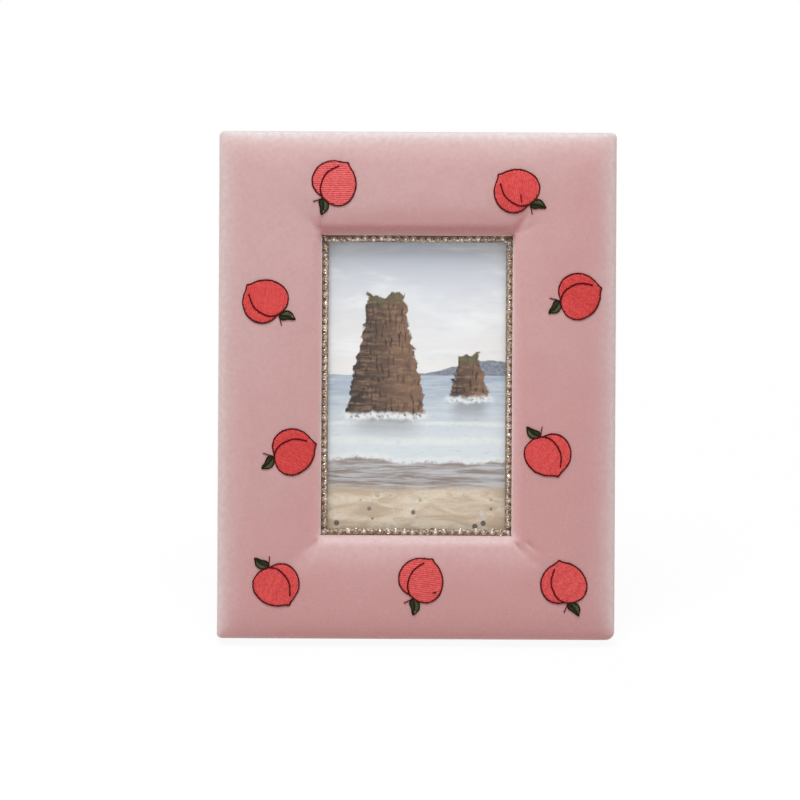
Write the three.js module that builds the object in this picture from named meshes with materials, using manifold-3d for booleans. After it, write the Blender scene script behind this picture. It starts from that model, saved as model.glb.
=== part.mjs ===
// A padded velvet picture frame standing on its easel leg. Millimetres, +Z up, the picture faces -Y.
import * as THREE from "three";
import { mergeVertices } from "three/addons/utils/BufferGeometryUtils.js";
import Module from "manifold-3d";

const wasm = await Module();
wasm.setup();

// Print and window
const PRINT_WIDTH = 101.6;
const PRINT_HEIGHT = 152.4;
const PRINT_THICKNESS = 0.4;
const COVER_SIDES = 4.3; // how far the border laps over the print at the left and right
const COVER_ENDS = 3.2; // and at the top and bottom
const BORDER = 49.5; // from the outer edge to the window, on all four sides
const WINDOW_WIDTH = PRINT_WIDTH - 2 * COVER_SIDES;
const WINDOW_HEIGHT = PRINT_HEIGHT - 2 * COVER_ENDS;
const FRAME_WIDTH = WINDOW_WIDTH + 2 * BORDER;
const FRAME_HEIGHT = WINDOW_HEIGHT + 2 * BORDER;

// Fits
const GAP = 0.3; // between pieces that lie on each other
const PANE_PLAY = 0.7; // round the glass, print, card and panel in the rebate, each side
const PIN_PLAY = 0.1; // round the hinge pin
const HOLE_PLAY = 0.15; // round rivets, screws and staple legs

// Border from the back forwards
const VELVET = 0.8;
const CORE_THICKNESS = 9;
const LIP_THICKNESS = 3.2; // the core's front lip, which holds the glass
const CROWN_FOAM = 9; // foam thickness at the crown
const WINDOW_FOAM = 1.6; // foam thickness at the window
const SIDE_FOAM = 1.5; // foam thickness where the outer side starts to round over
const OUTER_CORNER = 2.5; // corner radius of the outline
const WINDOW_CORNER = 1.2; // corner radius of the window
const OUTER_ROLL = 24; // width over which the border rises from its outer side
const INNER_ROLL = 17.5; // width over which it falls to the window
const OUTER_FULLNESS = 2.6; // roundness of the outer roll: 2 is an ellipse
const INNER_FULLNESS = 2.2; // roundness of the inner roll
const HEM = 22; // width of the velvet turned onto the back
const LINING_THICKNESS = 1;
const LINING_MARGIN = 4; // velvet left showing round the lining
const LINING_CORNER = 2;

// Glass, panel and what lies between
const GLASS_THICKNESS = 2;
const PANEL_THICKNESS = 3;

// Cup chain
const CUP_DIAMETER = 3.1;
const CUP_HEIGHT = 1.2;
const STONE_TABLE = 1.5; // diameter of a stone's flat top
const STONE_HEIGHT = 0.9; // above the cup
const CHAIN_PITCH = 3.9;
const LINK_WIDTH = 1.4;
const LINK_HEIGHT = 0.6;

// Embroidery
const STITCH_HEIGHT = 0.6;

// Stance
const LEAN = THREE.MathUtils.degToRad(14);
const LEG_OPENING = THREE.MathUtils.degToRad(25);

// Easel leg
const HINGE_HEIGHT = 160; // of the hinge axis over the frame's bottom
const LEG_THICKNESS = 3;
const LEG_TOP_WIDTH = 36;
const LEG_FOOT_WIDTH = 62;
const LEG_CLEARANCE = 2; // between the folded leg and the panel

// Hinge
const LEAF_THICKNESS = 0.8;
const LEAF_WIDTH = 30;
const LEAF_LENGTH = 19;
const KNUCKLE_RADIUS = 1.6;
const KNUCKLE_PLAY = 0.3; // between knuckles along the pin
const MIDDLE_KNUCKLE = 11.4; // length of the leg leaf's knuckle
const PIN_DIAMETER = 1.6;
const PIN_HEAD = 2.6;
const PIN_HEAD_LENGTH = 0.8;

// Rivets
const RIVET_DIAMETER = 2.4;
const RIVET_HEAD = 4.8;
const RIVET_HEAD_HEIGHT = 0.8;
const RIVET_SPACING = 18;
const RIVET_FROM_AXIS = 12;
const RIVET_DEPTH = 2.2; // into the panel

// Turn buttons
const BUTTON_WIDTH = 9;
const BUTTON_REACH = 17; // from the pivot to the end over the panel
const BUTTON_THICKNESS = 0.8;
const BUTTON_FROM_PANEL = 9.3; // from the panel's edge to the pivot
const BUTTON_SPACING = 92; // between the two buttons of a side
const SCREW_DIAMETER = 3;
const SCREW_HEAD = 6.2;
const SCREW_HEAD_HEIGHT = 1.5;
const SCREW_DEPTH = 5; // into the core
const SLOT_WIDTH = 0.9;
const SLOT_DEPTH = 0.6;

// Ribbon stay
const RIBBON_WIDTH = 12;
const RIBBON_THICKNESS = 0.4;
const RIBBON_TAB = 12; // length laid flat at each end
const RIBBON_ABOVE_FOOT = 20.4; // from the panel's foot up to the bend at the panel
const RIBBON_DROP = 10; // how much further from the hinge the bend at the leg is
const STAPLE_WIRE = 0.6;
const STAPLE_SIDE = 1; // from the ribbon's edge to a staple leg
const STAPLE_DEPTH = 1.8; // into the board

// Levels across the thickness, forward from the rear face of the velvet
const CORE_REAR = VELVET + GAP;
const CORE_FRONT = CORE_REAR + CORE_THICKNESS;
const LEDGE = CORE_FRONT - LIP_THICKNESS;
const GLASS_FRONT = LEDGE - GAP;
const GLASS_REAR = GLASS_FRONT - GLASS_THICKNESS;
const PRINT_FRONT = GLASS_REAR - GAP;
const PRINT_REAR = PRINT_FRONT - PRINT_THICKNESS;
const LINING_FRONT = -GAP;
const LINING_REAR = LINING_FRONT - LINING_THICKNESS;
const PANEL_REAR = LINING_REAR;
const PANEL_FRONT = PANEL_REAR + PANEL_THICKNESS;
const CARD_FRONT = PRINT_REAR - GAP;
const CARD_REAR = PANEL_FRONT + GAP;
const FOAM_REAR = CORE_FRONT + GAP;
const SKIN = VELVET + GAP; // from the foam to the velvet's outer face
const CROWN = FOAM_REAR + CROWN_FOAM + SKIN;
const SIDE_TOP = FOAM_REAR + SIDE_FOAM + SKIN;
const WALL_TOP = FOAM_REAR + WINDOW_FOAM + SKIN;
const WALL_FOOT = GLASS_FRONT + GAP;

// Widths and heights in the rebate
const PANE_WIDTH = PRINT_WIDTH + 2 * GAP;
const PANE_HEIGHT = PRINT_HEIGHT + 2 * GAP;
const REBATE_WIDTH = PANE_WIDTH + 2 * PANE_PLAY;
const REBATE_HEIGHT = PANE_HEIGHT + 2 * PANE_PLAY;
const PANEL_WIDTH = REBATE_WIDTH - 2 * GAP;
const PANEL_HEIGHT = REBATE_HEIGHT - 2 * GAP;
const MIDDLE = FRAME_HEIGHT / 2;

// Hinge axis, and the leg's faces measured from it
const PANEL_BACK = -PANEL_REAR;
const LEG_INNER = -(KNUCKLE_RADIUS - LEAF_THICKNESS - GAP);
const LEG_OUTER = LEG_INNER + LEG_THICKNESS;
const AXIS_BACK = PANEL_BACK + LEG_CLEARANCE - LEG_INNER;
const LEG_TOP = -(KNUCKLE_RADIUS + 0.8);

// The ribbon's bends, measured down from the hinge axis
const PANEL_FOOT = MIDDLE - PANEL_HEIGHT / 2;
const RIBBON_ON_PANEL = HINGE_HEIGHT - PANEL_FOOT - RIBBON_ABOVE_FOOT;
const RIBBON_ON_LEG = RIBBON_ON_PANEL + RIBBON_DROP;

// Materials
function material(colour, roughness, metalness = 0) {
  return new THREE.MeshStandardMaterial({ color: colour, roughness, metalness });
}
const velvetPink = material(0xcf9f9f, 0.95);
const foamCream = material(0xe9e0c8, 0.95);
const boardBrown = material(0x9b7a55, 0.85);
const flockGrey = material(0x3c393b, 0.95);
const clearGlass = new THREE.MeshStandardMaterial({
  color: 0xe8f0f0,
  roughness: 0.05,
  transparent: true,
  opacity: 0.2,
});
const printPaper = material(0xb4b7c2, 0.5);
const cardGrey = material(0xa9a297, 0.9);
const chainMetal = material(0xcdbca3, 0.3, 0.8);
const fruitThread = material(0xe0605c, 0.7);
const leafThread = material(0x44552f, 0.7);
const nickel = material(0xb9b6b0, 0.3, 0.9);
const ribbonBlack = material(0x2c2a2b, 0.7);

// Solids and booleans
function solidOf(geometry) {
  const bare = new THREE.BufferGeometry();
  const flat = geometry.index ? geometry.toNonIndexed() : geometry;
  bare.setAttribute("position", flat.getAttribute("position").clone());
  const merged = mergeVertices(bare, 1e-4);
  const mesh = new wasm.Mesh({
    numProp: 3,
    vertProperties: merged.attributes.position.array,
    triVerts: new Uint32Array(merged.index.array),
  });
  return new wasm.Manifold(mesh);
}

function geometryOf(solid) {
  const mesh = solid.getMesh();
  const count = mesh.numVert;
  const points = new Float32Array(count * 3);
  for (let i = 0; i < count; i++) {
    const start = i * mesh.numProp;
    points.set(mesh.vertProperties.subarray(start, start + 3), i * 3);
  }
  const geometry = new THREE.BufferGeometry();
  geometry.setAttribute("position", new THREE.BufferAttribute(points, 3));
  geometry.setIndex(new THREE.BufferAttribute(new Uint32Array(mesh.triVerts), 1));
  const flat = geometry.toNonIndexed();
  flat.computeVertexNormals();
  return flat;
}

function joined(solids) {
  return solids.reduce((sum, solid) => sum.add(solid));
}

function cutFrom(solid, cutters) {
  return cutters.reduce((left, cutter) => left.subtract(cutter), solid);
}

// Shapes
function roundedRectangle(width, height, radius, middle) {
  const x = width / 2 - radius;
  const z = height / 2 - radius;
  const shape = new THREE.Shape();
  shape.absarc(x, middle + z, radius, 0, Math.PI / 2);
  shape.absarc(-x, middle + z, radius, Math.PI / 2, Math.PI);
  shape.absarc(-x, middle - z, radius, Math.PI, Math.PI * 1.5);
  shape.absarc(x, middle - z, radius, Math.PI * 1.5, Math.PI * 2);
  shape.closePath();
  return shape;
}

// A plate with an outline in X and Z, from one Y to another
function plate(shape, front, back, curveSegments = 4) {
  const geometry = new THREE.ExtrudeGeometry(shape, {
    depth: back - front,
    bevelEnabled: false,
    curveSegments,
  });
  geometry.rotateX(Math.PI / 2);
  geometry.translate(0, back, 0);
  return solidOf(geometry);
}

// A bar with an outline in Y and Z, from one X to another
function bar(shape, left, right, curveSegments = 4) {
  const geometry = new THREE.ExtrudeGeometry(shape, {
    depth: right - left,
    bevelEnabled: false,
    curveSegments,
  });
  const turn = new THREE.Matrix4().set(0, 0, 1, 0, 1, 0, 0, 0, 0, 1, 0, 0, 0, 0, 0, 1);
  geometry.applyMatrix4(turn);
  geometry.translate(left, 0, 0);
  return solidOf(geometry);
}

function block(left, right, front, back, bottom, top) {
  const geometry = new THREE.BoxGeometry(right - left, back - front, top - bottom);
  geometry.translate((left + right) / 2, (front + back) / 2, (bottom + top) / 2);
  return solidOf(geometry);
}

// A round pin along Y, from one Y to another
function roundAlongY(diameter, x, z, front, back, sides = 16) {
  const geometry = new THREE.CylinderGeometry(diameter / 2, diameter / 2, back - front, sides);
  geometry.translate(x, (front + back) / 2, z);
  return solidOf(geometry);
}

// A round pin along X, from one X to another
function roundAlongX(diameter, y, z, left, right, sides = 16) {
  const geometry = new THREE.CylinderGeometry(diameter / 2, diameter / 2, right - left, sides);
  geometry.rotateZ(Math.PI / 2);
  geometry.translate((left + right) / 2, y, z);
  return solidOf(geometry);
}

function polygon(points) {
  return new THREE.Shape(points.map(([a, b]) => new THREE.Vector2(a, b)));
}

// The border's cross-section: points of inset from the outer edge and level forward of the rear face
function outerRoll(inset) {
  const rest = 1 - inset / OUTER_ROLL;
  const rise = Math.pow(1 - Math.pow(rest, OUTER_FULLNESS), 1 / OUTER_FULLNESS);
  return SIDE_TOP + (CROWN - SIDE_TOP) * rise;
}

function innerRoll(inset) {
  const along = 1 - (BORDER - inset) / INNER_ROLL;
  return CROWN - (CROWN - WALL_TOP) * Math.pow(along, INNER_FULLNESS);
}

function frontLine() {
  const line = [[0, SIDE_TOP]];
  for (const share of [0.02, 0.07, 0.16, 0.3, 0.5, 0.75, 1]) {
    const inset = OUTER_ROLL * share;
    line.push([inset, outerRoll(inset)]);
  }
  for (const share of [0, 0.2, 0.38, 0.55, 0.7, 0.85, 1]) {
    const inset = BORDER - INNER_ROLL * (1 - share);
    line.push([inset, innerRoll(inset)]);
  }
  return line;
}

// The line moved towards the core, or away from it by a negative distance
function moved(line, distance) {
  const normals = [];
  for (let i = 1; i < line.length; i++) {
    const along = line[i][0] - line[i - 1][0];
    const up = line[i][1] - line[i - 1][1];
    const length = Math.hypot(along, up);
    normals.push([up / length, -along / length]);
  }
  return line.map(([inset, level], i) => {
    const before = normals[Math.max(i - 1, 0)];
    const after = normals[Math.min(i, normals.length - 1)];
    const share = 1 + before[0] * after[0] + before[1] * after[1];
    const across = (before[0] + after[0]) / share;
    const up = (before[1] + after[1]) / share;
    return [inset + across * distance, level + up * distance];
  });
}

// A closed ring round the window from a closed cross-section
function ring(profile) {
  const steps = 4;
  const loop = 4 * (steps + 1);
  const points = [];
  for (const [inset, level] of profile) {
    const share = Math.min(Math.max(inset / BORDER, 0), 1);
    const radius = OUTER_CORNER + (WINDOW_CORNER - OUTER_CORNER) * share;
    const x = FRAME_WIDTH / 2 - inset - radius;
    const z = FRAME_HEIGHT / 2 - inset - radius;
    for (let corner = 0; corner < 4; corner++) {
      const sideX = corner === 0 || corner === 3 ? 1 : -1;
      const sideZ = corner < 2 ? 1 : -1;
      for (let step = 0; step <= steps; step++) {
        const angle = (corner + step / steps) * (Math.PI / 2);
        points.push(sideX * x + radius * Math.cos(angle));
        points.push(-level);
        points.push(MIDDLE + sideZ * z + radius * Math.sin(angle));
      }
    }
  }
  const faces = [];
  const rows = profile.length;
  for (let row = 0; row < rows; row++) {
    const next = (row + 1) % rows;
    for (let i = 0; i < loop; i++) {
      const j = (i + 1) % loop;
      const a = row * loop + i;
      const b = row * loop + j;
      const c = next * loop + j;
      const d = next * loop + i;
      faces.push(a, b, c, a, c, d);
    }
  }
  const geometry = new THREE.BufferGeometry();
  geometry.setAttribute("position", new THREE.Float32BufferAttribute(points, 3));
  geometry.setIndex(faces);
  return solidOf(geometry);
}

// Velvet, foam and core
const FRONT = frontLine();
const VELVET_FACE = [[HEM, 0], [0, 0], ...FRONT, [BORDER, WALL_FOOT]];
const VELVET_INSIDE = moved(VELVET_FACE, VELVET);
const velvetCover = ring([...VELVET_FACE, ...VELVET_INSIDE.reverse()]);

const foamTop = moved([[0, 0], ...FRONT, [BORDER, 0]], SKIN).slice(1, -1);
const foamPad = ring([[SKIN, FOAM_REAR], ...foamTop, [BORDER - SKIN, FOAM_REAR]]);

const coreOutline = roundedRectangle(
  FRAME_WIDTH - 2 * SKIN,
  FRAME_HEIGHT - 2 * SKIN,
  OUTER_CORNER - SKIN / 2,
  MIDDLE,
);
const coreWindow = roundedRectangle(
  WINDOW_WIDTH + 2 * SKIN,
  WINDOW_HEIGHT + 2 * SKIN,
  WINDOW_CORNER,
  MIDDLE,
);
coreOutline.holes.push(coreWindow);
const rebate = block(
  -REBATE_WIDTH / 2,
  REBATE_WIDTH / 2,
  -LEDGE,
  1,
  MIDDLE - REBATE_HEIGHT / 2,
  MIDDLE + REBATE_HEIGHT / 2,
);

// Where the turn buttons pivot
const pivotX = PANEL_WIDTH / 2 + BUTTON_FROM_PANEL;
const pivots = [
  ["left_upper", -pivotX, MIDDLE + BUTTON_SPACING / 2],
  ["left_lower", -pivotX, MIDDLE - BUTTON_SPACING / 2],
  ["right_upper", pivotX, MIDDLE + BUTTON_SPACING / 2],
  ["right_lower", pivotX, MIDDLE - BUTTON_SPACING / 2],
];
const screwHole = SCREW_DIAMETER + 2 * HOLE_PLAY;
const coreHoles = pivots.map(([, x, z]) => {
  return roundAlongY(screwHole, x, z, -CORE_REAR - SCREW_DEPTH - GAP, 1, 12);
});
const frameCore = cutFrom(plate(coreOutline, -CORE_FRONT, -CORE_REAR), [rebate, ...coreHoles]);

// Rear lining
const liningOutline = roundedRectangle(
  FRAME_WIDTH - 2 * LINING_MARGIN,
  FRAME_HEIGHT - 2 * LINING_MARGIN,
  LINING_CORNER,
  MIDDLE,
);
const liningHoles = pivots.map(([, x, z]) => {
  return roundAlongY(screwHole, x, z, 0, -LINING_REAR + 1, 12);
});
const liningOpening = block(
  -REBATE_WIDTH / 2,
  REBATE_WIDTH / 2,
  0,
  -LINING_REAR + 1,
  MIDDLE - REBATE_HEIGHT / 2,
  MIDDLE + REBATE_HEIGHT / 2,
);
const rearLining = cutFrom(plate(liningOutline, -LINING_FRONT, -LINING_REAR), [
  liningOpening,
  ...liningHoles,
]);

// Glass, print, card and panel
function pane(width, height, front, rear) {
  return block(
    -width / 2,
    width / 2,
    -front,
    -rear,
    MIDDLE - height / 2,
    MIDDLE + height / 2,
  );
}
const glassPane = pane(PANE_WIDTH, PANE_HEIGHT, GLASS_FRONT, GLASS_REAR);
const photoPrint = pane(PRINT_WIDTH, PRINT_HEIGHT, PRINT_FRONT, PRINT_REAR);
const fillerCard = pane(PANE_WIDTH, PANE_HEIGHT, CARD_FRONT, CARD_REAR);

const rivetZ = HINGE_HEIGHT + RIVET_FROM_AXIS;
const rivetXs = [-RIVET_SPACING / 2, RIVET_SPACING / 2];
const rivetHole = RIVET_DIAMETER + 2 * HOLE_PLAY;
const panelStapleZ = HINGE_HEIGHT - RIBBON_ON_PANEL - RIBBON_TAB / 2;
const stapleX = RIBBON_WIDTH / 2 + STAPLE_SIDE;
const stapleXs = [-stapleX, stapleX];
const stapleHole = STAPLE_WIRE + 2 * HOLE_PLAY;
const panelHoles = [
  ...rivetXs.map((x) => {
    return roundAlongY(rivetHole, x, rivetZ, PANEL_BACK - RIVET_DEPTH - GAP, PANEL_BACK + 1, 12);
  }),
  ...stapleXs.map((x) => {
    const bottom = PANEL_BACK - STAPLE_DEPTH - GAP;
    return roundAlongY(stapleHole, x, panelStapleZ, bottom, PANEL_BACK + 1, 8);
  }),
];
const backPanel = cutFrom(pane(PANEL_WIDTH, PANEL_HEIGHT, PANEL_FRONT, PANEL_REAR), panelHoles);

// Cup chain: a cup with its stone, then runs of them joined by a link strip
function cupWithStone(x, z) {
  const cup = CUP_DIAMETER / 2;
  const profile = [
    new THREE.Vector2(0, 0),
    new THREE.Vector2(cup, 0),
    new THREE.Vector2(cup, CUP_HEIGHT),
    new THREE.Vector2(STONE_TABLE / 2, CUP_HEIGHT + STONE_HEIGHT),
    new THREE.Vector2(0, CUP_HEIGHT + STONE_HEIGHT),
  ];
  const geometry = new THREE.LatheGeometry(profile, 6);
  geometry.rotateX(Math.PI);
  geometry.translate(x, -GLASS_FRONT - GAP, z);
  return solidOf(geometry);
}

function chainRun(from, to, stones) {
  const cups = [];
  for (let i = 0; i < stones; i++) {
    const share = i / (stones - 1);
    const x = from[0] + (to[0] - from[0]) * share;
    const z = from[1] + (to[1] - from[1]) * share;
    cups.push(cupWithStone(x, z));
  }
  const wide = from[1] === to[1];
  const halfX = wide ? 0 : LINK_WIDTH / 2;
  const halfZ = wide ? LINK_WIDTH / 2 : 0;
  const link = block(
    Math.min(from[0], to[0]) - halfX,
    Math.max(from[0], to[0]) + halfX,
    -GLASS_FRONT - GAP - LINK_HEIGHT,
    -GLASS_FRONT - GAP,
    Math.min(from[1], to[1]) - halfZ,
    Math.max(from[1], to[1]) + halfZ,
  );
  return joined([link, ...cups]);
}

const chainX = WINDOW_WIDTH / 2 - GAP - CUP_DIAMETER / 2;
const chainZ = WINDOW_HEIGHT / 2 - GAP - CUP_DIAMETER / 2;
const acrossStones = Math.round((2 * chainX) / CHAIN_PITCH) + 1;
const upSpaces = Math.round((2 * chainZ) / CHAIN_PITCH);
const upPitch = (2 * chainZ) / upSpaces;
const upEnd = chainZ - upPitch;
const chainRuns = [
  ["top", [-chainX, MIDDLE + chainZ], [chainX, MIDDLE + chainZ], acrossStones],
  ["bottom", [-chainX, MIDDLE - chainZ], [chainX, MIDDLE - chainZ], acrossStones],
  ["left", [-chainX, MIDDLE - upEnd], [-chainX, MIDDLE + upEnd], upSpaces - 1],
  ["right", [chainX, MIDDLE - upEnd], [chainX, MIDDLE + upEnd], upSpaces - 1],
];

// Embroidered peach, upright as it points to the right: outline points from the fruit's middle
const FRUIT = [
  [-9.33, -1.28],
  [-9.84, 0.46],
  [-10.2, 2.32],
  [-10.03, 4.41],
  [-9.45, 6.15],
  [-8.4, 7.77],
  [-6.89, 9.17],
  [-4.92, 10.33],
  [-2.83, 10.98],
  [-0.74, 11.18],
  [1.35, 10.9],
  [3.2, 10.33],
  [5.06, 9.33],
  [6.68, 7.93],
  [8.07, 6.31],
  [9.23, 4.87],
  [10.35, 3.83],
  [10.05, 2.32],
  [9.81, 0.46],
  [9.7, -1.39],
  [9.12, -3.25],
  [8.19, -5.22],
  [6.91, -7.08],
  [5.06, -8.82],
  [2.74, -10.21],
  [0.19, -11.09],
  [-2.37, -11.14],
  [-4.69, -10.33],
  [-6.54, -8.93],
  [-7.93, -7.31],
  [-8.75, -5.57],
  [-9.14, -3.48],
];
const LEAF = [
  [-9.95, -2.04],
  [-11.18, -1.74],
  [-12.57, -1.97],
  [-13.62, -3.25],
  [-14.31, -5.1],
  [-15.36, -6.73],
  [-16.4, -8.24],
  [-16.17, -8.93],
  [-14.43, -8.7],
  [-12.69, -8.93],
  [-10.95, -8.12],
  [-9.8, -6.84],
  [-9.5, -5.33],
  [-9.6, -3.48],
];
// Each peach: the border it lies on, how far along it from the frame's middle, its place across the border
// as a share from the outer edge to the window, and its turn in degrees
const PEACHES = [
  ["1", "top", -40.7, 0.495, 38],
  ["2", "top", 48.6, 0.564, 120],
  ["3", "left", 40.6, 0.457, 120.5],
  ["4", "right", 43.8, 0.346, 2],
  ["5", "left", -32.3, 0.739, 0],
  ["6", "right", -32.9, 0.65, -83],
  ["7", "bottom", -67.8, 0.517, -77],
  ["8", "bottom", 2.5, 0.57, 44],
  ["9", "bottom", 71.9, 0.557, 83],
];

function peachPlace(side, along, share) {
  const inset = BORDER * share;
  if (side === "top") return [along, FRAME_HEIGHT - inset];
  if (side === "bottom") return [along, inset];
  if (side === "left") return [inset - FRAME_WIDTH / 2, MIDDLE + along];
  return [FRAME_WIDTH / 2 - inset, MIDDLE + along];
}

const stitchLine = FRONT.slice(2, -1);
const stitchLayer = ring([
  ...moved(stitchLine, -GAP - STITCH_HEIGHT),
  ...moved(stitchLine, -GAP).reverse(),
]);

function stitched(outline, place, turn) {
  const angle = THREE.MathUtils.degToRad(turn);
  const turned = outline.map(([across, up]) => [
    place[0] + across * Math.cos(angle) - up * Math.sin(angle),
    place[1] + across * Math.sin(angle) + up * Math.cos(angle),
  ]);
  return stitchLayer.intersect(plate(polygon(turned), -CROWN - 5, -SIDE_TOP + 5));
}

// Turn button and screw, about a pivot on the origin's Y axis
function buttonOutline(towards) {
  const half = BUTTON_WIDTH / 2;
  const end = BUTTON_REACH - half * 0.7;
  const shape = new THREE.Shape();
  shape.absarc(0, 0, half, Math.PI / 2, Math.PI * 1.5);
  shape.absarc(end, 0, half * 0.7, -Math.PI / 2, Math.PI / 2);
  shape.closePath();
  const points = shape.getPoints(6).map((point) => [point.x * towards, point.y]);
  return polygon(points);
}

const BUTTON_FRONT = -LINING_REAR + GAP;
const BUTTON_BACK = BUTTON_FRONT + BUTTON_THICKNESS;
const SCREW_SEAT = BUTTON_BACK + GAP;

function turnButton(x) {
  const blank = plate(buttonOutline(x > 0 ? -1 : 1), BUTTON_FRONT, BUTTON_BACK, 6);
  return cutFrom(blank, [roundAlongY(screwHole, 0, 0, BUTTON_FRONT - 1, BUTTON_BACK + 1, 12)]);
}

function buttonScrew() {
  const top = SCREW_SEAT + SCREW_HEAD_HEIGHT;
  const head = roundAlongY(SCREW_HEAD, 0, 0, SCREW_SEAT, top, 16);
  const shank = roundAlongY(SCREW_DIAMETER, 0, 0, -CORE_REAR - SCREW_DEPTH, SCREW_SEAT + 0.5, 12);
  const arm = SCREW_HEAD * 0.34;
  const half = SLOT_WIDTH / 2;
  const slots = [
    block(-arm, arm, top - SLOT_DEPTH, top + 1, -half, half),
    block(-half, half, top - SLOT_DEPTH, top + 1, -arm, arm),
  ];
  return cutFrom(joined([head, shank]), slots);
}

// Hinge leaves about the axis: the panel's leaf goes up, the leg's goes down
const pinBore = PIN_DIAMETER + 2 * PIN_PLAY;
const halfLeaf = LEAF_WIDTH / 2;
const halfMiddle = MIDDLE_KNUCKLE / 2;
const leafStart = KNUCKLE_RADIUS + 0.5;
const panelLeafFront = PANEL_BACK + GAP - AXIS_BACK;
const panelLeafBack = panelLeafFront + LEAF_THICKNESS;
const legLeafBack = LEG_INNER - GAP;
const legLeafFront = legLeafBack - LEAF_THICKNESS;

function knuckle(left, right, webFront, webBack, webEnd) {
  const tube = roundAlongX(2 * KNUCKLE_RADIUS, 0, 0, left, right, 16);
  const web = block(left, right, webFront, webBack, Math.min(0, webEnd), Math.max(0, webEnd));
  const bore = roundAlongX(pinBore, 0, 0, left - 1, right + 1, 16);
  return cutFrom(joined([tube, web]), [bore]);
}

function panelLeaf() {
  const flat = block(-halfLeaf, halfLeaf, panelLeafFront, panelLeafBack, leafStart, LEAF_LENGTH);
  const near = halfMiddle + KNUCKLE_PLAY;
  const webBack = -pinBore / 2 - 0.1;
  const knuckles = [
    knuckle(-halfLeaf, -near, panelLeafFront, webBack, leafStart + 0.6),
    knuckle(near, halfLeaf, panelLeafFront, webBack, leafStart + 0.6),
  ];
  const holes = rivetXs.map((x) => {
    return roundAlongY(rivetHole, x, RIVET_FROM_AXIS, panelLeafFront - 1, panelLeafBack + 1, 12);
  });
  return cutFrom(joined([flat, ...knuckles]), holes);
}

function legLeaf() {
  const flat = block(-halfLeaf, halfLeaf, legLeafFront, legLeafBack, -LEAF_LENGTH, -leafStart);
  const tube = knuckle(-halfMiddle, halfMiddle, legLeafFront, legLeafBack, -leafStart - 0.6);
  const holes = rivetXs.map((x) => {
    return roundAlongY(rivetHole, x, -RIVET_FROM_AXIS, legLeafFront - 1, legLeafBack + 1, 12);
  });
  return cutFrom(joined([flat, tube]), holes);
}

function hingePin() {
  const end = halfLeaf + GAP;
  const body = roundAlongX(PIN_DIAMETER, 0, 0, -end - 0.2, end + 0.2, 16);
  const heads = [
    roundAlongX(PIN_HEAD, 0, 0, -end - PIN_HEAD_LENGTH, -end, 16),
    roundAlongX(PIN_HEAD, 0, 0, end, end + PIN_HEAD_LENGTH, 16),
  ];
  return joined([body, ...heads]);
}

function rivet(x, z, seat, inner) {
  const head = roundAlongY(RIVET_HEAD, x, z, seat, seat + RIVET_HEAD_HEIGHT, 12);
  const shank = roundAlongY(RIVET_DIAMETER, x, z, inner, seat + 0.3, 12);
  return joined([head, shank]);
}

// Easel leg about the axis, hanging down as when folded
const LEG_STOCK = HINGE_HEIGHT * 1.2; // longer than needed, and cut at the floor
function legBoard() {
  const spread = (LEG_FOOT_WIDTH - LEG_TOP_WIDTH) / 2 / HINGE_HEIGHT;
  const foot = LEG_TOP_WIDTH / 2 + spread * LEG_STOCK;
  const outline = polygon([
    [-LEG_TOP_WIDTH / 2 + 2, LEG_TOP],
    [-LEG_TOP_WIDTH / 2, LEG_TOP - 2],
    [-foot, -LEG_STOCK],
    [foot, -LEG_STOCK],
    [LEG_TOP_WIDTH / 2, LEG_TOP - 2],
    [LEG_TOP_WIDTH / 2 - 2, LEG_TOP],
  ]);
  const stapleZ = -RIBBON_ON_LEG - RIBBON_TAB / 2;
  const holes = [
    ...rivetXs.map((x) => {
      return roundAlongY(rivetHole, x, -RIVET_FROM_AXIS, LEG_INNER - 1, LEG_OUTER + 1, 12);
    }),
    ...stapleXs.map((x) => {
      const bottom = LEG_INNER + STAPLE_DEPTH + GAP;
      return roundAlongY(stapleHole, x, stapleZ, LEG_INNER - 1, bottom, 8);
    }),
  ];
  return cutFrom(plate(outline, LEG_INNER, LEG_OUTER), holes);
}

// What lies under the floor, in the leg's own frame
function underFloor() {
  const size = 4 * LEG_STOCK;
  const geometry = new THREE.BoxGeometry(size, size, size);
  geometry.translate(0, 0, -size / 2);
  const place = new THREE.Matrix4().makeRotationX(LEG_OPENING);
  place.setPosition(0, AXIS_BACK, HINGE_HEIGHT);
  const world = new THREE.Matrix4().makeRotationX(-LEAN).multiply(place);
  geometry.applyMatrix4(world.invert());
  return solidOf(geometry);
}

// Staple: a crown over the ribbon and two legs into the board, facing +Y or -Y
function staple(z, crown, board, way) {
  const near = Math.min(crown, crown + way * STAPLE_WIRE);
  const far = Math.max(crown, crown + way * STAPLE_WIRE);
  const half = STAPLE_WIRE / 2;
  const over = block(-stapleX - half, stapleX + half, near, far, z - half, z + half);
  const tip = board - way * STAPLE_DEPTH;
  const legs = stapleXs.map((x) => {
    return block(
      x - half * 0.7,
      x + half * 0.7,
      Math.min(tip, crown + way * 0.1),
      Math.max(tip, crown + way * 0.1),
      z - half * 0.7,
      z + half * 0.7,
    );
  });
  return joined([over, ...legs]);
}

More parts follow.
